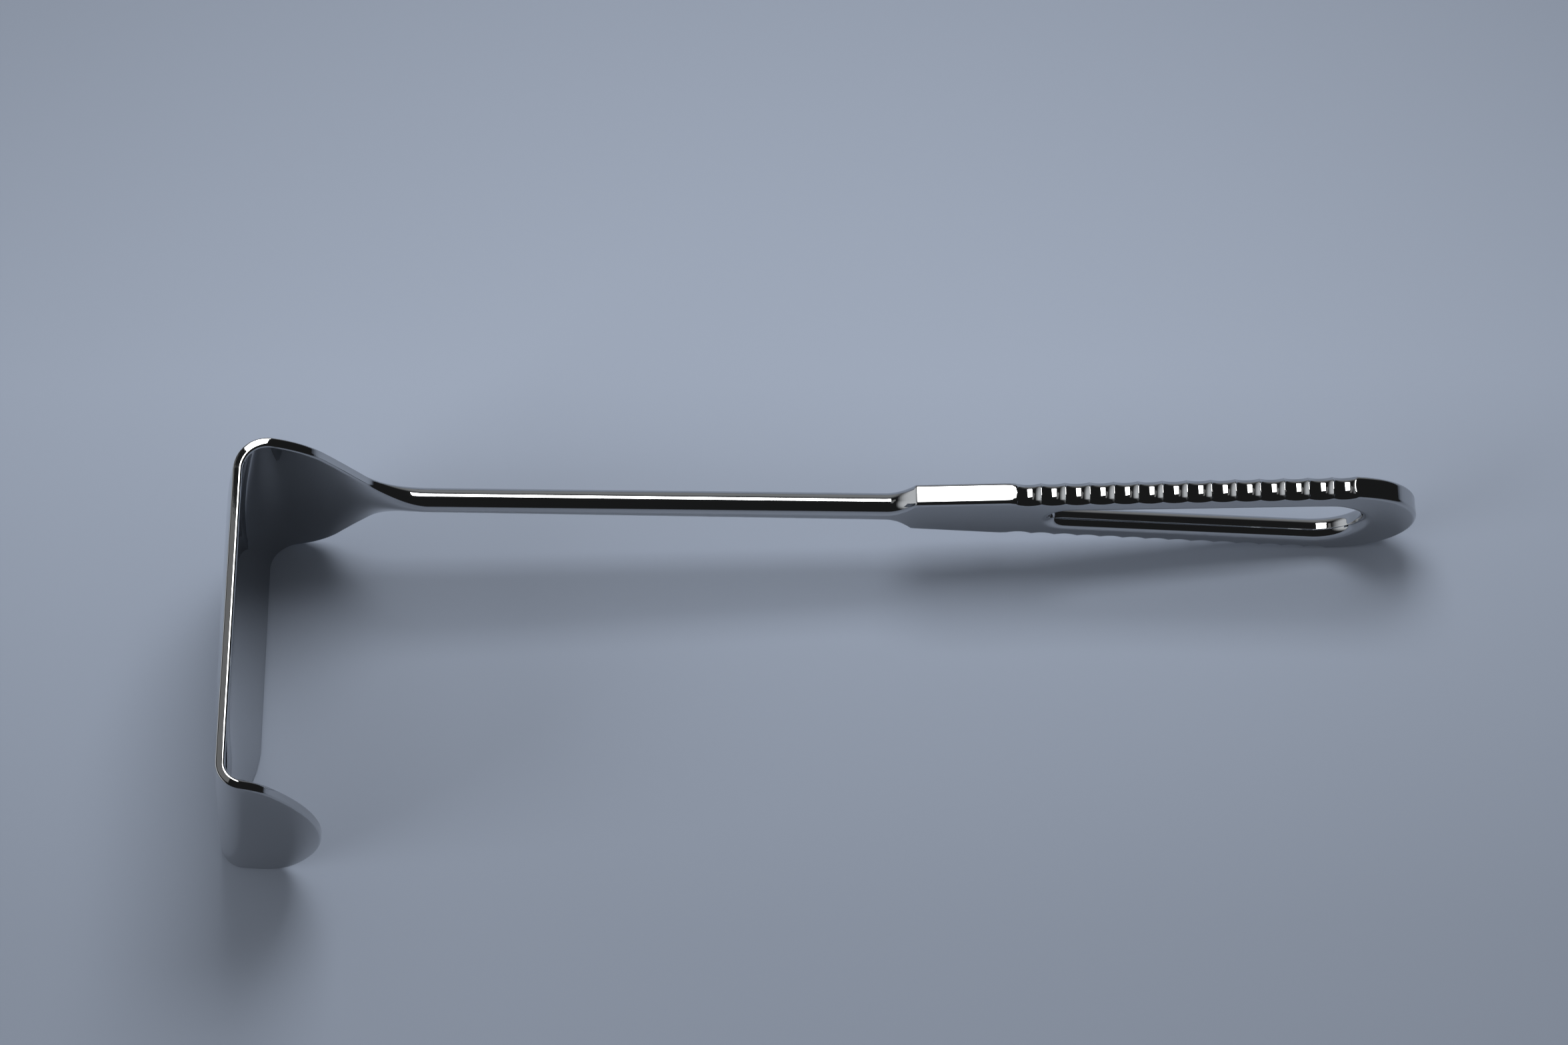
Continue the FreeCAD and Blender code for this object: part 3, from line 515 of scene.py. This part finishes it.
# %% Handle outline
HANDLE_END = 242.0
HANDLE_TAPER = atan((35.0153 - 14.2) / 2.0 / (HANDLE_END - HANDLE_START))
SIDE_RADIUS = 24.0
TIP_RADIUS = 15.2
FLUTES = {"Count": 14, "Pitch": 4.97 * MM, "Radius": 3.35 * MM, "Depth": 1.02 * MM,
          "First": 23.1 * MM, "Crown": 7.0 * MM, "Bevel": 0.85 * MM, "Bevel slope": 0.6,
          "Half thickness": HANDLE_THICKNESS / 2.0 * MM}
tip_centre = HANDLE_END - TIP_RADIUS
arc_level = (SIDE_RADIUS - (tip_centre - HANDLE_START) * sin(HANDLE_TAPER)
             - HALF_HANDLE_START * cos(HANDLE_TAPER))
side_turn = HANDLE_TAPER + asin(arc_level / (SIDE_RADIUS - TIP_RADIUS))
side_centre = (tip_centre - (SIDE_RADIUS - TIP_RADIUS) * cos(side_turn),
               -(SIDE_RADIUS - TIP_RADIUS) * sin(side_turn))
taper_end = (side_centre[0] - SIDE_RADIUS * sin(HANDLE_TAPER),
             side_centre[1] + SIDE_RADIUS * cos(HANDLE_TAPER))
taper_length = hypot(taper_end[0] - HANDLE_START, taper_end[1] - HALF_HANDLE_START)

# %% Stations along the handle's edge


def flute_places():
    """Distances along the edge that give every scallop fine, even steps round its arc."""
    radius = FLUTES["Radius"] / MM
    pitch = FLUTES["Pitch"] / MM
    reach = sqrt(radius ** 2 - (radius - FLUTES["Depth"] / MM) ** 2)
    widest = degrees(asin(reach / radius))
    steps = [radius * sin(radians(a)) for a in range(4, int(widest), 4)] + [reach]
    offsets = [-s for s in reversed(steps)] + [0.0] + steps
    places = []
    for number in range(FLUTES["Count"]):
        middle = FLUTES["First"] / MM + number * pitch
        places += [middle - pitch / 2.0] + [middle + offset for offset in offsets]
    return places + [middle + pitch / 2.0]


def upper_stations():
    """Stations of the handle's upper edge: point, outward normal, distance, fall below taper."""
    fine = flute_places()
    plain = [0.0, 0.15, 0.4] + spaced(1.0, fine[0] - 0.3, 16)
    found = []
    for place in plain + fine:
        beyond = max(0.0, place - taper_length)
        turn = asin(beyond / SIDE_RADIUS)
        angle = QUARTER + HANDLE_TAPER - turn
        normal = Vector((cos(angle), sin(angle)))
        if beyond > 0.0:
            point = Vector(side_centre) + SIDE_RADIUS * normal
        else:
            point = Vector((HANDLE_START + place * cos(HANDLE_TAPER),
                            HALF_HANDLE_START + place * sin(HANDLE_TAPER)))
        found.append((point, normal, place, SIDE_RADIUS * (1.0 - cos(turn))))
    for a in spaced(angle, side_turn, 22)[1:]:
        normal = Vector((cos(a), sin(a)))
        found.append((Vector(side_centre) + SIDE_RADIUS * normal, normal, -1000.0, 0.0))
    for a in spaced(side_turn, 0.0, 30)[1:]:
        normal = Vector((cos(a), sin(a)))
        found.append((Vector((tip_centre, 0.0)) + TIP_RADIUS * normal, normal, -1000.0, 0.0))
    point, normal, place, fall = found[0]
    found[0] = (point, Vector((0.0, 1.0)), place, fall)
    return found


upper = upper_stations()
lower = [(Vector((p[0], -p[1])), Vector((n[0], -n[1])), place, fall)
         for p, n, place, fall in reversed(upper[:-1])]
edge_stations = upper + lower
handle_profile = rim_profile(HANDLE_THICKNESS / 2.0, HANDLE_ROUND, HANDLE_ROUND)
WIDE = len(handle_profile)
print("handle edge: %d stations of %d points" % (len(edge_stations), WIDE))

# %% [markdown]
# The plain strip is a mesh of its own for now. Each point carries its inset and level in
# the rounded profile, its distance along the edge, the edge's fall below the straight taper
# and the direction into the metal.

# %% Plain edge with attributes


def strip_faces(count, width):
    """Quads between neighbouring rows of this many points."""
    faces = []
    for row in range(count - 1):
        for place in range(width - 1):
            a = row * width + place
            faces.append((a, a + width, a + width + 1, a + 1))
    return faces


def handle_point(flat, level):
    return Vector((flat[0], level, flat[1]))


edge_points = []
edge_data = {"inset": [], "level": [], "margin": [], "along": [], "fall": [], "inward": []}
for point, normal, place, fall in edge_stations:
    for number, (inset, level) in enumerate(handle_profile):
        edge_points.append(handle_point(point - normal * inset, level) * MM)
        edge_data["inset"].append(inset * MM)
        edge_data["level"].append(level * MM)
        edge_data["margin"].append(SUPPORT * MM if number in (0, WIDE - 1) else 0.0)
        edge_data["along"].append(place * MM)
        edge_data["fall"].append(fall * MM)
        edge_data["inward"].extend((-normal[0], 0.0, -normal[1]))

edge_mesh = bpy.data.meshes.new("handle edge")
edge_mesh.from_pydata(edge_points, [], strip_faces(len(edge_stations), WIDE))
for name, values in edge_data.items():
    kind = "FLOAT_VECTOR" if name == "inward" else "FLOAT"
    attribute = edge_mesh.attributes.new(name, kind, "POINT")
    attribute.data.foreach_set("vector" if name == "inward" else "value", values)
handle_edge = bpy.data.objects.new("handle edge", edge_mesh)
bpy.context.scene.collection.objects.link(handle_edge)
print("plain edge:", len(edge_mesh.vertices), "points, attributes", list(edge_data))

# %% [markdown]
# A mirror-polished steel has almost no colour of its own. What it shows is the table, the
# lamp and the dark of the room. What makes it look real is what breaks that reflection up: a
# slow unevenness from polishing by hand, a very fine grain, and faint wiped patches where
# the surface is a touch less sharp. All of it is noise on Object coordinates.

# %% Polished steel


def shader_material(name):
    material = bpy.data.materials.new(name)
    material.use_nodes = True
    return material, material.node_tree.nodes["Principled BSDF"]


def add_noise(tree, scale, detail):
    coordinates = tree.nodes.new("ShaderNodeTexCoord")
    noise = tree.nodes.new("ShaderNodeTexNoise")
    noise.inputs["Scale"].default_value = scale
    noise.inputs["Detail"].default_value = detail
    tree.links.new(coordinates.outputs["Object"], noise.inputs["Vector"])
    return noise.outputs["Fac"]


def add_range(tree, value, low, high, start=0.3, end=0.7):
    node = tree.nodes.new("ShaderNodeMapRange")
    node.inputs["From Min"].default_value = start
    node.inputs["From Max"].default_value = end
    node.inputs["To Min"].default_value = low
    node.inputs["To Max"].default_value = high
    tree.links.new(value, node.inputs["Value"])
    return node.outputs["Result"]


def add_bump(tree, height, distance, before=None):
    node = tree.nodes.new("ShaderNodeBump")
    node.inputs["Distance"].default_value = distance
    tree.links.new(height, node.inputs["Height"])
    if before is not None:
        tree.links.new(before, node.inputs["Normal"])
    return node.outputs["Normal"]


steel, steel_shader = shader_material("polished steel")
steel_tree = steel.node_tree
steel_shader.inputs["Metallic"].default_value = 1.0
steel_shader.inputs["Base Color"].default_value = (0.51, 0.515, 0.52, 1.0)
SHARPEST = 0.02
DULLEST = 0.05
WAVE_HEIGHT = 0.012 * MM
GRAIN_HEIGHT = 0.0006 * MM
patches = add_noise(steel_tree, 70.0, 4.0)
grain = add_noise(steel_tree, 2600.0, 2.0)
waves = add_noise(steel_tree, 45.0, 1.0)
steel_tree.links.new(add_range(steel_tree, patches, SHARPEST, DULLEST),
                     steel_shader.inputs["Roughness"])
wavy = add_bump(steel_tree, waves, WAVE_HEIGHT)
steel_tree.links.new(add_bump(steel_tree, grain, GRAIN_HEIGHT, wavy),
                     steel_shader.inputs["Normal"])
print("steel:", len(steel_tree.nodes), "nodes")

# %% [markdown]
# The tree works out each scallop as a round wheel would cut it. From the distance along the
# edge it finds the nearest scallop, and from the wheel's radius at the point's level how deep
# the cut goes there. Only the deeper of the cut and the plain rounding counts. Afterwards the
# result is turned to a plain mesh, so that it can be stitched to the rest.

# %% Scallop tree


def scallop_tree():
    """Pushes points of a handle's edge in to the bottom of a row of bevelled scallops."""
    tree = bpy.data.node_groups.new("scalloped edge", "GeometryNodeTree")
    interface = tree.interface
    interface.new_socket("Geometry", in_out="INPUT", socket_type="NodeSocketGeometry")
    for name in FLUTES:
        kind = "NodeSocketInt" if name == "Count" else "NodeSocketFloat"
        interface.new_socket(name, in_out="INPUT", socket_type=kind)
    interface.new_socket("Metal", in_out="INPUT", socket_type="NodeSocketMaterial")
    interface.new_socket("Geometry", in_out="OUTPUT", socket_type="NodeSocketGeometry")
    nodes, links = tree.nodes, tree.links
    given = nodes.new("NodeGroupInput").outputs

    def attribute(name, kind="FLOAT"):
        node = nodes.new("GeometryNodeInputNamedAttribute")
        node.data_type = kind
        node.inputs["Name"].default_value = name
        return node.outputs["Attribute"]

    def math(operation, first, second=None):
        node = nodes.new("ShaderNodeMath")
        node.operation = operation
        for socket, value in zip(node.inputs, (first, second)):
            if isinstance(value, (int, float)):
                socket.default_value = value
            elif value is not None:
                links.new(value, socket)
        return node.outputs[0]

    # How far the point is from the middle of its nearest scallop
    along = math("SUBTRACT", attribute("along"), given["First"])
    nearest = math("ROUND", math("DIVIDE", along, given["Pitch"]))
    last = math("SUBTRACT", given["Count"], 1.0)
    number = math("MAXIMUM", math("MINIMUM", nearest, last), 0.0)
    aside = math("SUBTRACT", along, math("MULTIPLY", number, given["Pitch"]))
    # The wheel's radius at the point's level: wider off the middle, and more so in the bevels
    bevel_level = math("SUBTRACT", given["Half thickness"], given["Bevel"])
    beyond = math("SUBTRACT", math("ABSOLUTE", attribute("level")), bevel_level)
    bevel = math("MULTIPLY", math("MAXIMUM", beyond, 0.0), given["Bevel slope"])
    level_square = math("MULTIPLY", attribute("level"), attribute("level"))
    crown = math("DIVIDE", level_square, math("MULTIPLY", given["Crown"], 2.0))
    cutter = math("ADD", given["Radius"], math("ADD", crown, bevel))
    # How deep the cut goes there, measured from the edge
    square = math("SUBTRACT", math("MULTIPLY", cutter, cutter), math("MULTIPLY", aside, aside))
    half_chord = math("SQRT", math("MAXIMUM", square, 0.0))
    stand_off = math("SUBTRACT", given["Radius"], given["Depth"])
    cut = math("SUBTRACT", math("SUBTRACT", half_chord, stand_off), attribute("fall"))
    cut = math("ADD", cut, attribute("margin"))
    move = math("SUBTRACT", math("MAXIMUM", cut, attribute("inset")), attribute("inset"))

    scale = nodes.new("ShaderNodeVectorMath")
    scale.operation = "SCALE"
    links.new(attribute("inward", "FLOAT_VECTOR"), scale.inputs["Vector"])
    links.new(move, scale.inputs["Scale"])
    place = nodes.new("GeometryNodeSetPosition")
    realize = nodes.new("GeometryNodeRealizeInstances")
    finish = nodes.new("GeometryNodeSetMaterial")
    out = nodes.new("NodeGroupOutput")
    links.new(given["Geometry"], place.inputs["Geometry"])
    links.new(scale.outputs["Vector"], place.inputs["Offset"])
    links.new(place.outputs["Geometry"], realize.inputs["Geometry"])
    links.new(realize.outputs["Geometry"], finish.inputs["Geometry"])
    links.new(given["Metal"], finish.inputs["Material"])
    links.new(finish.outputs["Geometry"], out.inputs["Geometry"])
    return tree

# %% Cut the scallops


def identifier(tree, name):
    """The identifier of a tree's input, which is what a modifier's values are set by."""
    for item in tree.interface.items_tree:
        if item.item_type == "SOCKET" and item.in_out == "INPUT" and item.name == name:
            return item.identifier


scallops = handle_edge.modifiers.new("scallops", "NODES")
scallops.node_group = scallop_tree()
for name, value in FLUTES.items():
    scallops[identifier(scallops.node_group, name)] = value
scallops[identifier(scallops.node_group, "Metal")] = steel
evaluated = handle_edge.evaluated_get(bpy.context.evaluated_depsgraph_get())
cut_edge = bpy.data.meshes.new_from_object(evaluated)
edge_rows = [vertex.co / MM for vertex in cut_edge.vertices]
handle_edge.modifiers.remove(scallops)
bpy.data.objects.remove(handle_edge)
moved = max((a - b / MM).length for a, b in zip(edge_rows, edge_points))
print("scallops: %d on each edge, deepest cut %.2f mm" % (FLUTES["Count"], moved))

# %% [markdown]
# The slot is a long teardrop, wide toward the handle's end. Its wall is one more strip. Fingers
# go through it, so its edges are rounded off much further than the handle's outer ones. The
# handle's two flat faces fill the space between the strips.

# %% Slot
SLOT_START = 165.4
SLOT_SMALL = 3.7
SLOT_LARGE = 8.3
SLOT_BRIDGE = 11.5
SLOT_ROUND = 1.9
slot_profile = rim_profile(HANDLE_THICKNESS / 2.0, SLOT_ROUND, SLOT_ROUND)
slot_narrow = SLOT_START + SLOT_SMALL
slot_wide = HANDLE_END - SLOT_BRIDGE - SLOT_LARGE
spread = asin((SLOT_LARGE - SLOT_SMALL) / (slot_wide - slot_narrow))


def slot_stations():
    """Points of the slot's outline, counterclockwise, each with its normal into the metal."""
    found = []
    for a in spaced(-QUARTER - spread, QUARTER + spread, 56):
        normal = Vector((cos(a), sin(a)))
        found.append((Vector((slot_wide, 0.0)) + SLOT_LARGE * normal, normal))
    for a in spaced(QUARTER + spread, 3.0 * QUARTER - spread, 36):
        normal = Vector((cos(a), sin(a)))
        found.append((Vector((slot_narrow, 0.0)) + SLOT_SMALL * normal, normal))
    upper_run = [(blend(found[56][0], found[57][0], share), found[56][1])
                 for share in spaced(0.0, 1.0, 24)[1:-1]]
    lower_run = [(blend(found[-1][0], found[0][0], share), found[0][1])
                 for share in spaced(0.0, 1.0, 24)[1:-1]]
    return found[:57] + upper_run + found[57:] + lower_run


slot_rows = []
for point, normal in slot_stations():
    slot_rows.append([handle_point(point + normal * inset, level)
                      for inset, level in slot_profile])
print("slot: %.1f mm long, %d stations" % (slot_wide + SLOT_LARGE - SLOT_START, len(slot_rows)))

# %% [markdown]
# Everything is now stitched into one skin. Shared rows use the same points, so the finished
# mesh is closed and its shading runs on without a seam.

# %% One skin
points = []
faces = []


def add_points(row):
    points.extend(row)
    return list(range(len(points) - len(row), len(points)))


def add_strip(rows, closed_rows=False, closed_round=False):
    """Quads between rows of point numbers."""
    pairs = list(zip(rows, rows[1:]))
    if closed_rows:
        pairs.append((rows[-1], rows[0]))
    for row, following in pairs:
        width = len(row)
        for place in range(width if closed_round else width - 1):
            after = (place + 1) % width
            faces.append((row[place], following[place], following[after], row[after]))


ring_rows = [add_points(ring) for ring in rings]
add_strip(ring_rows, closed_round=True)


def ring_sides(ring):
    """A ring's numbers as outer face, upper side, inner face and lower side.

    Each side runs from the support point on the outer face to the one on the inner face.
    """
    outer = ring[:ACROSS + 1]
    start = ACROSS + 1 + RIM
    inner = ring[start:start + ACROSS + 1]
    upper_side = [outer[-2], outer[-1]] + ring[ACROSS + 1:start] + [inner[0], inner[1]]
    lower_side = ([inner[-2], inner[-1]] + ring[start + ACROSS + 1:] + [outer[0], outer[1]])
    return outer, upper_side, inner, lower_side[::-1]

# %% Stitch the tongue and the handle
# Tongue: its rim starts and ends on the last ring's two sides
outer, upper_side, inner, lower_side = ring_sides(ring_rows[-1])
tongue = [upper_side] + [add_points(row) for row in tongue_rim[1:-1]] + [lower_side]
add_strip(tongue)
for rows, face_row, column in ((outer_rows, outer[1:-1], 0), (inner_rows, inner[1:-1][::-1], -1)):
    edge = [row[column] for row in tongue]
    grid = [face_row]
    for down, row in enumerate(rows, start=1):
        grid.append([edge[-1 - down]] + add_points(row) + [edge[down]])
    grid.append(edge[DOWN_THE_SIDE:DOWN_THE_SIDE + ACROSS - 1][::-1])
    add_strip(grid)

# Handle: its edge starts and ends on the first ring's two sides
outer, upper_side, inner, lower_side = ring_sides(ring_rows[0])
edge_row = [edge_rows[i * WIDE:(i + 1) * WIDE] for i in range(len(edge_stations))]
handle = [upper_side] + [add_points(row) for row in edge_row[1:-1]] + [lower_side]
add_strip(handle)
slot = [add_points(row) for row in slot_rows]
add_strip(slot, closed_rows=True)
for column, front in ((0, outer[2:-2]), (-1, inner[2:-2][::-1])):
    border = [row[column] for row in handle] + front
    hole = [row[column] for row in slot]
    flat = [[Vector((points[i].x, points[i].z, 0.0)) for i in loop] for loop in (border, hole)]
    numbers = border + hole
    for triangle in tessellate_polygon(flat):
        faces.append(tuple(numbers[i] for i in triangle))
print("skin:", len(points), "points,", len(faces), "faces")

# %% [markdown]
# The part lies the way it comes to rest, on three places: the lip's and the shoulder's lower
# corners and the handle's lower edge. It is turned and rolled by those, then set in the box
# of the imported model, with its place in its mesh and its object left at the origin.

# %% Lay it down
shoulder_side = (CORNER_START, CORNER_RADIUS - HALF_BLADE)
handle_side = (side_centre[0], -side_centre[1])
run = handle_side[0] - shoulder_side[0]
rise = handle_side[1] - shoulder_side[1]
turn_down = atan2(rise, run) + asin((CORNER_RADIUS - SIDE_RADIUS) / hypot(run, rise))
shoulder_drop = (CORNER_RADIUS + shoulder_side[0] * sin(turn_down)
                 - shoulder_side[1] * cos(turn_down))
lip_drop = (LIP_CORNER + LIP_ROOT * sin(turn_down) + (HALF_LIP - LIP_CORNER) * cos(turn_down))
roll = atan2(lip_drop - shoulder_drop, BLADE_DEPTH)
lay = Matrix.Rotation(-roll, 3, "X") @ Matrix.Rotation(turn_down, 3, "Y")
laid = [lay @ point * MM for point in points]
low = Vector([min(point[axis] for point in laid) for axis in range(3)])
high = Vector([max(point[axis] for point in laid) for axis in range(3)])
shift = (Vector(cad_box[0]) + Vector(cad_box[1]) - low - high) / 2.0
shift.z = cad_box[0][2] - low.z

mesh = bpy.data.meshes.new("polished retractor")
mesh.from_pydata([point + shift for point in laid], [], faces)
mesh.validate()
retractor = bpy.data.objects.new("polished_retractor", mesh)
bpy.context.scene.collection.objects.link(retractor)

# %% [markdown]
# A closed skin has exactly two faces on every edge, and that is worth counting. The normals
# are turned outwards, the shading is made smooth, and the finished piece takes the place of
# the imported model's own mesh.

# %% Closed and outward
skin = bmesh.new()
skin.from_mesh(mesh)
open_edges = [edge for edge in skin.edges if len(edge.link_faces) != 2]
bmesh.ops.recalc_face_normals(skin, faces=skin.faces)
volume = skin.calc_volume(signed=True) / MM ** 3
skin.to_mesh(mesh)
skin.free()
for polygon in mesh.polygons:
    polygon.use_smooth = True
mesh.materials.append(steel)
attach(retractor, "root")
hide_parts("retractor")
print("laid: turned %.2f, rolled %.2f degrees, %d open edges, %.0f mm3"
      % (degrees(turn_down), degrees(roll), len(open_edges), volume))

# %% [markdown]
# The table is a plain pale blue grey sheet. It has to be dull, because a glossy one would
# show the lamp. Its colour carries a painted pool of light: it is lightest behind the
# instrument and painted darker both ways from there, in two soft steps on the table's own
# coordinates. This painted shade stands in for the lamp's light falling off across the table.

# %% Table
HALF_TABLE = 1.5
table_data = bpy.data.meshes.new("table")
table_data.from_pydata([(-HALF_TABLE, -HALF_TABLE, 0.0), (HALF_TABLE, -HALF_TABLE, 0.0),
                        (HALF_TABLE, HALF_TABLE, 0.0), (-HALF_TABLE, HALF_TABLE, 0.0)], [],
                       [(0, 1, 2, 3)])
table = bpy.data.objects.new("table", table_data)
bpy.context.scene.collection.objects.link(table)
paper, paper_shader = shader_material("pale table")
paper_tree = paper.node_tree
TABLE_COLOUR = (0.35, 0.4, 0.495)
# How dark the painted shade makes the table toward its far and near sides
FAR_PAINTED_SHADE = 0.8
NEAR_PAINTED_SHADE = 0.84
paper_place = paper_tree.nodes.new("ShaderNodeTexCoord")
paper_axes = paper_tree.nodes.new("ShaderNodeSeparateXYZ")
paper_tree.links.new(paper_place.outputs["Object"], paper_axes.inputs["Vector"])
# Painted shade: the table's colour is darkened toward its far and near sides, standing in for the
# fall of the lamp's light
far_painted_shade = add_range(paper_tree, paper_axes.outputs["Y"], 1.0, FAR_PAINTED_SHADE, 0.07, 0.17)
near_painted_shade = add_range(paper_tree, paper_axes.outputs["Y"], NEAR_PAINTED_SHADE, 1.0, -0.05, 0.075)
painted_shade = paper_tree.nodes.new("ShaderNodeMath")
painted_shade.operation = "MULTIPLY"
paper_tree.links.new(far_painted_shade, painted_shade.inputs[0])
paper_tree.links.new(near_painted_shade, painted_shade.inputs[1])
tint = paper_tree.nodes.new("ShaderNodeVectorMath")
tint.operation = "SCALE"
tint.inputs[0].default_value = TABLE_COLOUR
paper_tree.links.new(painted_shade.outputs["Value"], tint.inputs["Scale"])
paper_tree.links.new(tint.outputs["Vector"], paper_shader.inputs["Base Color"])
paper_shader.inputs["Roughness"].default_value = 0.85
paper_shader.inputs["Specular IOR Level"].default_value = 0.1
table_data.materials.append(paper)

# %% [markdown]
# The photograph was lit by one square softbox, high up and beyond the instrument, in a dark
# room. The steel shows all of that: a crisp white patch, and black where it looks into the
# room. An area lamp is the softbox, and a dim card to its left gives the blade's edge its
# grey. The world is the room: nearly black, a little grey on the far side, with a pale wall
# far to the left. Two fills, one broad and one from the left, lift the table's shadows. They
# are kept out of reflections, because the real steel doesn't show them.

# %% Lights
BOX_SIZE = 0.235
BOX_PLACE = Vector((0.014, 0.23, 0.445))
BOX_POWER = 1.6
CARD_WIDTH = 0.1
CARD_HEIGHT = 0.24
CARD_PLACE = Vector((-0.17, 0.13, 0.45))
CARD_POWER = 0.016
FILL_PLACE = Vector((0.0, 0.0, 1.5))
FILL_SIZE = 2.0
FILL_POWER = 6.5
LEFT_PLACE = Vector((-0.9, -0.35, 0.6))
LEFT_SIZE = 0.5
LEFT_POWER = 2.4


def softbox(name, place, aim, width, height, power):
    data = bpy.data.lights.new(name, "AREA")
    data.shape = "RECTANGLE"
    data.size = width
    data.size_y = height
    data.energy = power
    lamp = bpy.data.objects.new(name, data)
    lamp.rotation_euler = (aim - place).to_track_quat("-Z", "Y").to_euler()
    lamp.location = place
    bpy.context.scene.collection.objects.link(lamp)
    return lamp


MIDDLE = Vector((0.0, 0.0, 0.0))
softbox("softbox", BOX_PLACE, MIDDLE, BOX_SIZE, BOX_SIZE, BOX_POWER)
softbox("card", CARD_PLACE, Vector((-0.12, 0.0, 0.0)), CARD_WIDTH, CARD_HEIGHT, CARD_POWER)
fills = (softbox("fill", FILL_PLACE, MIDDLE, FILL_SIZE, FILL_SIZE, FILL_POWER),
         softbox("left fill", LEFT_PLACE, Vector((-0.1, -0.03, 0.0)), LEFT_SIZE, LEFT_SIZE,
                 LEFT_POWER))
for lamp in fills:
    lamp.visible_glossy = False
print("lamps:", len(fills) + 2)

# %% [markdown]
# The room is the world's own colour, and it depends on the direction in which it is seen.
# It gives little light. Its work is to be seen in the steel.

# %% Room
FAR_GREY = 0.3
LEFT_GREY = 0.8
DARK = 0.018
world = bpy.data.worlds.new("room")
bpy.context.scene.world = world
world.use_nodes = True
room = world.node_tree
background = room.nodes["Background"]
direction = room.nodes.new("ShaderNodeTexCoord")
axes = room.nodes.new("ShaderNodeSeparateXYZ")


def add_side(axis, start, end, strength):
    """Light that rises toward one side of the room."""
    node = room.nodes.new("ShaderNodeMapRange")
    node.interpolation_type = "SMOOTHSTEP"
    node.inputs["From Min"].default_value = start
    node.inputs["From Max"].default_value = end
    node.inputs["To Min"].default_value = 0.0
    node.inputs["To Max"].default_value = strength
    room.links.new(axes.outputs[axis], node.inputs["Value"])
    return node.outputs["Result"]


def add_together(first, second):
    node = room.nodes.new("ShaderNodeMath")
    node.operation = "ADD"
    for socket, value in zip(node.inputs, (first, second)):
        if isinstance(value, float):
            socket.default_value = value
        else:
            room.links.new(value, socket)
    return node.outputs["Value"]


room.links.new(direction.outputs["Generated"], axes.inputs["Vector"])
far_side = add_side("Y", 0.62, 0.95, FAR_GREY)
left_side = add_side("X", -0.6, -0.95, LEFT_GREY)
room.links.new(add_together(add_together(far_side, left_side), DARK),
               background.inputs["Strength"])
background.inputs["Color"].default_value = (0.94, 0.97, 1.0, 1.0)
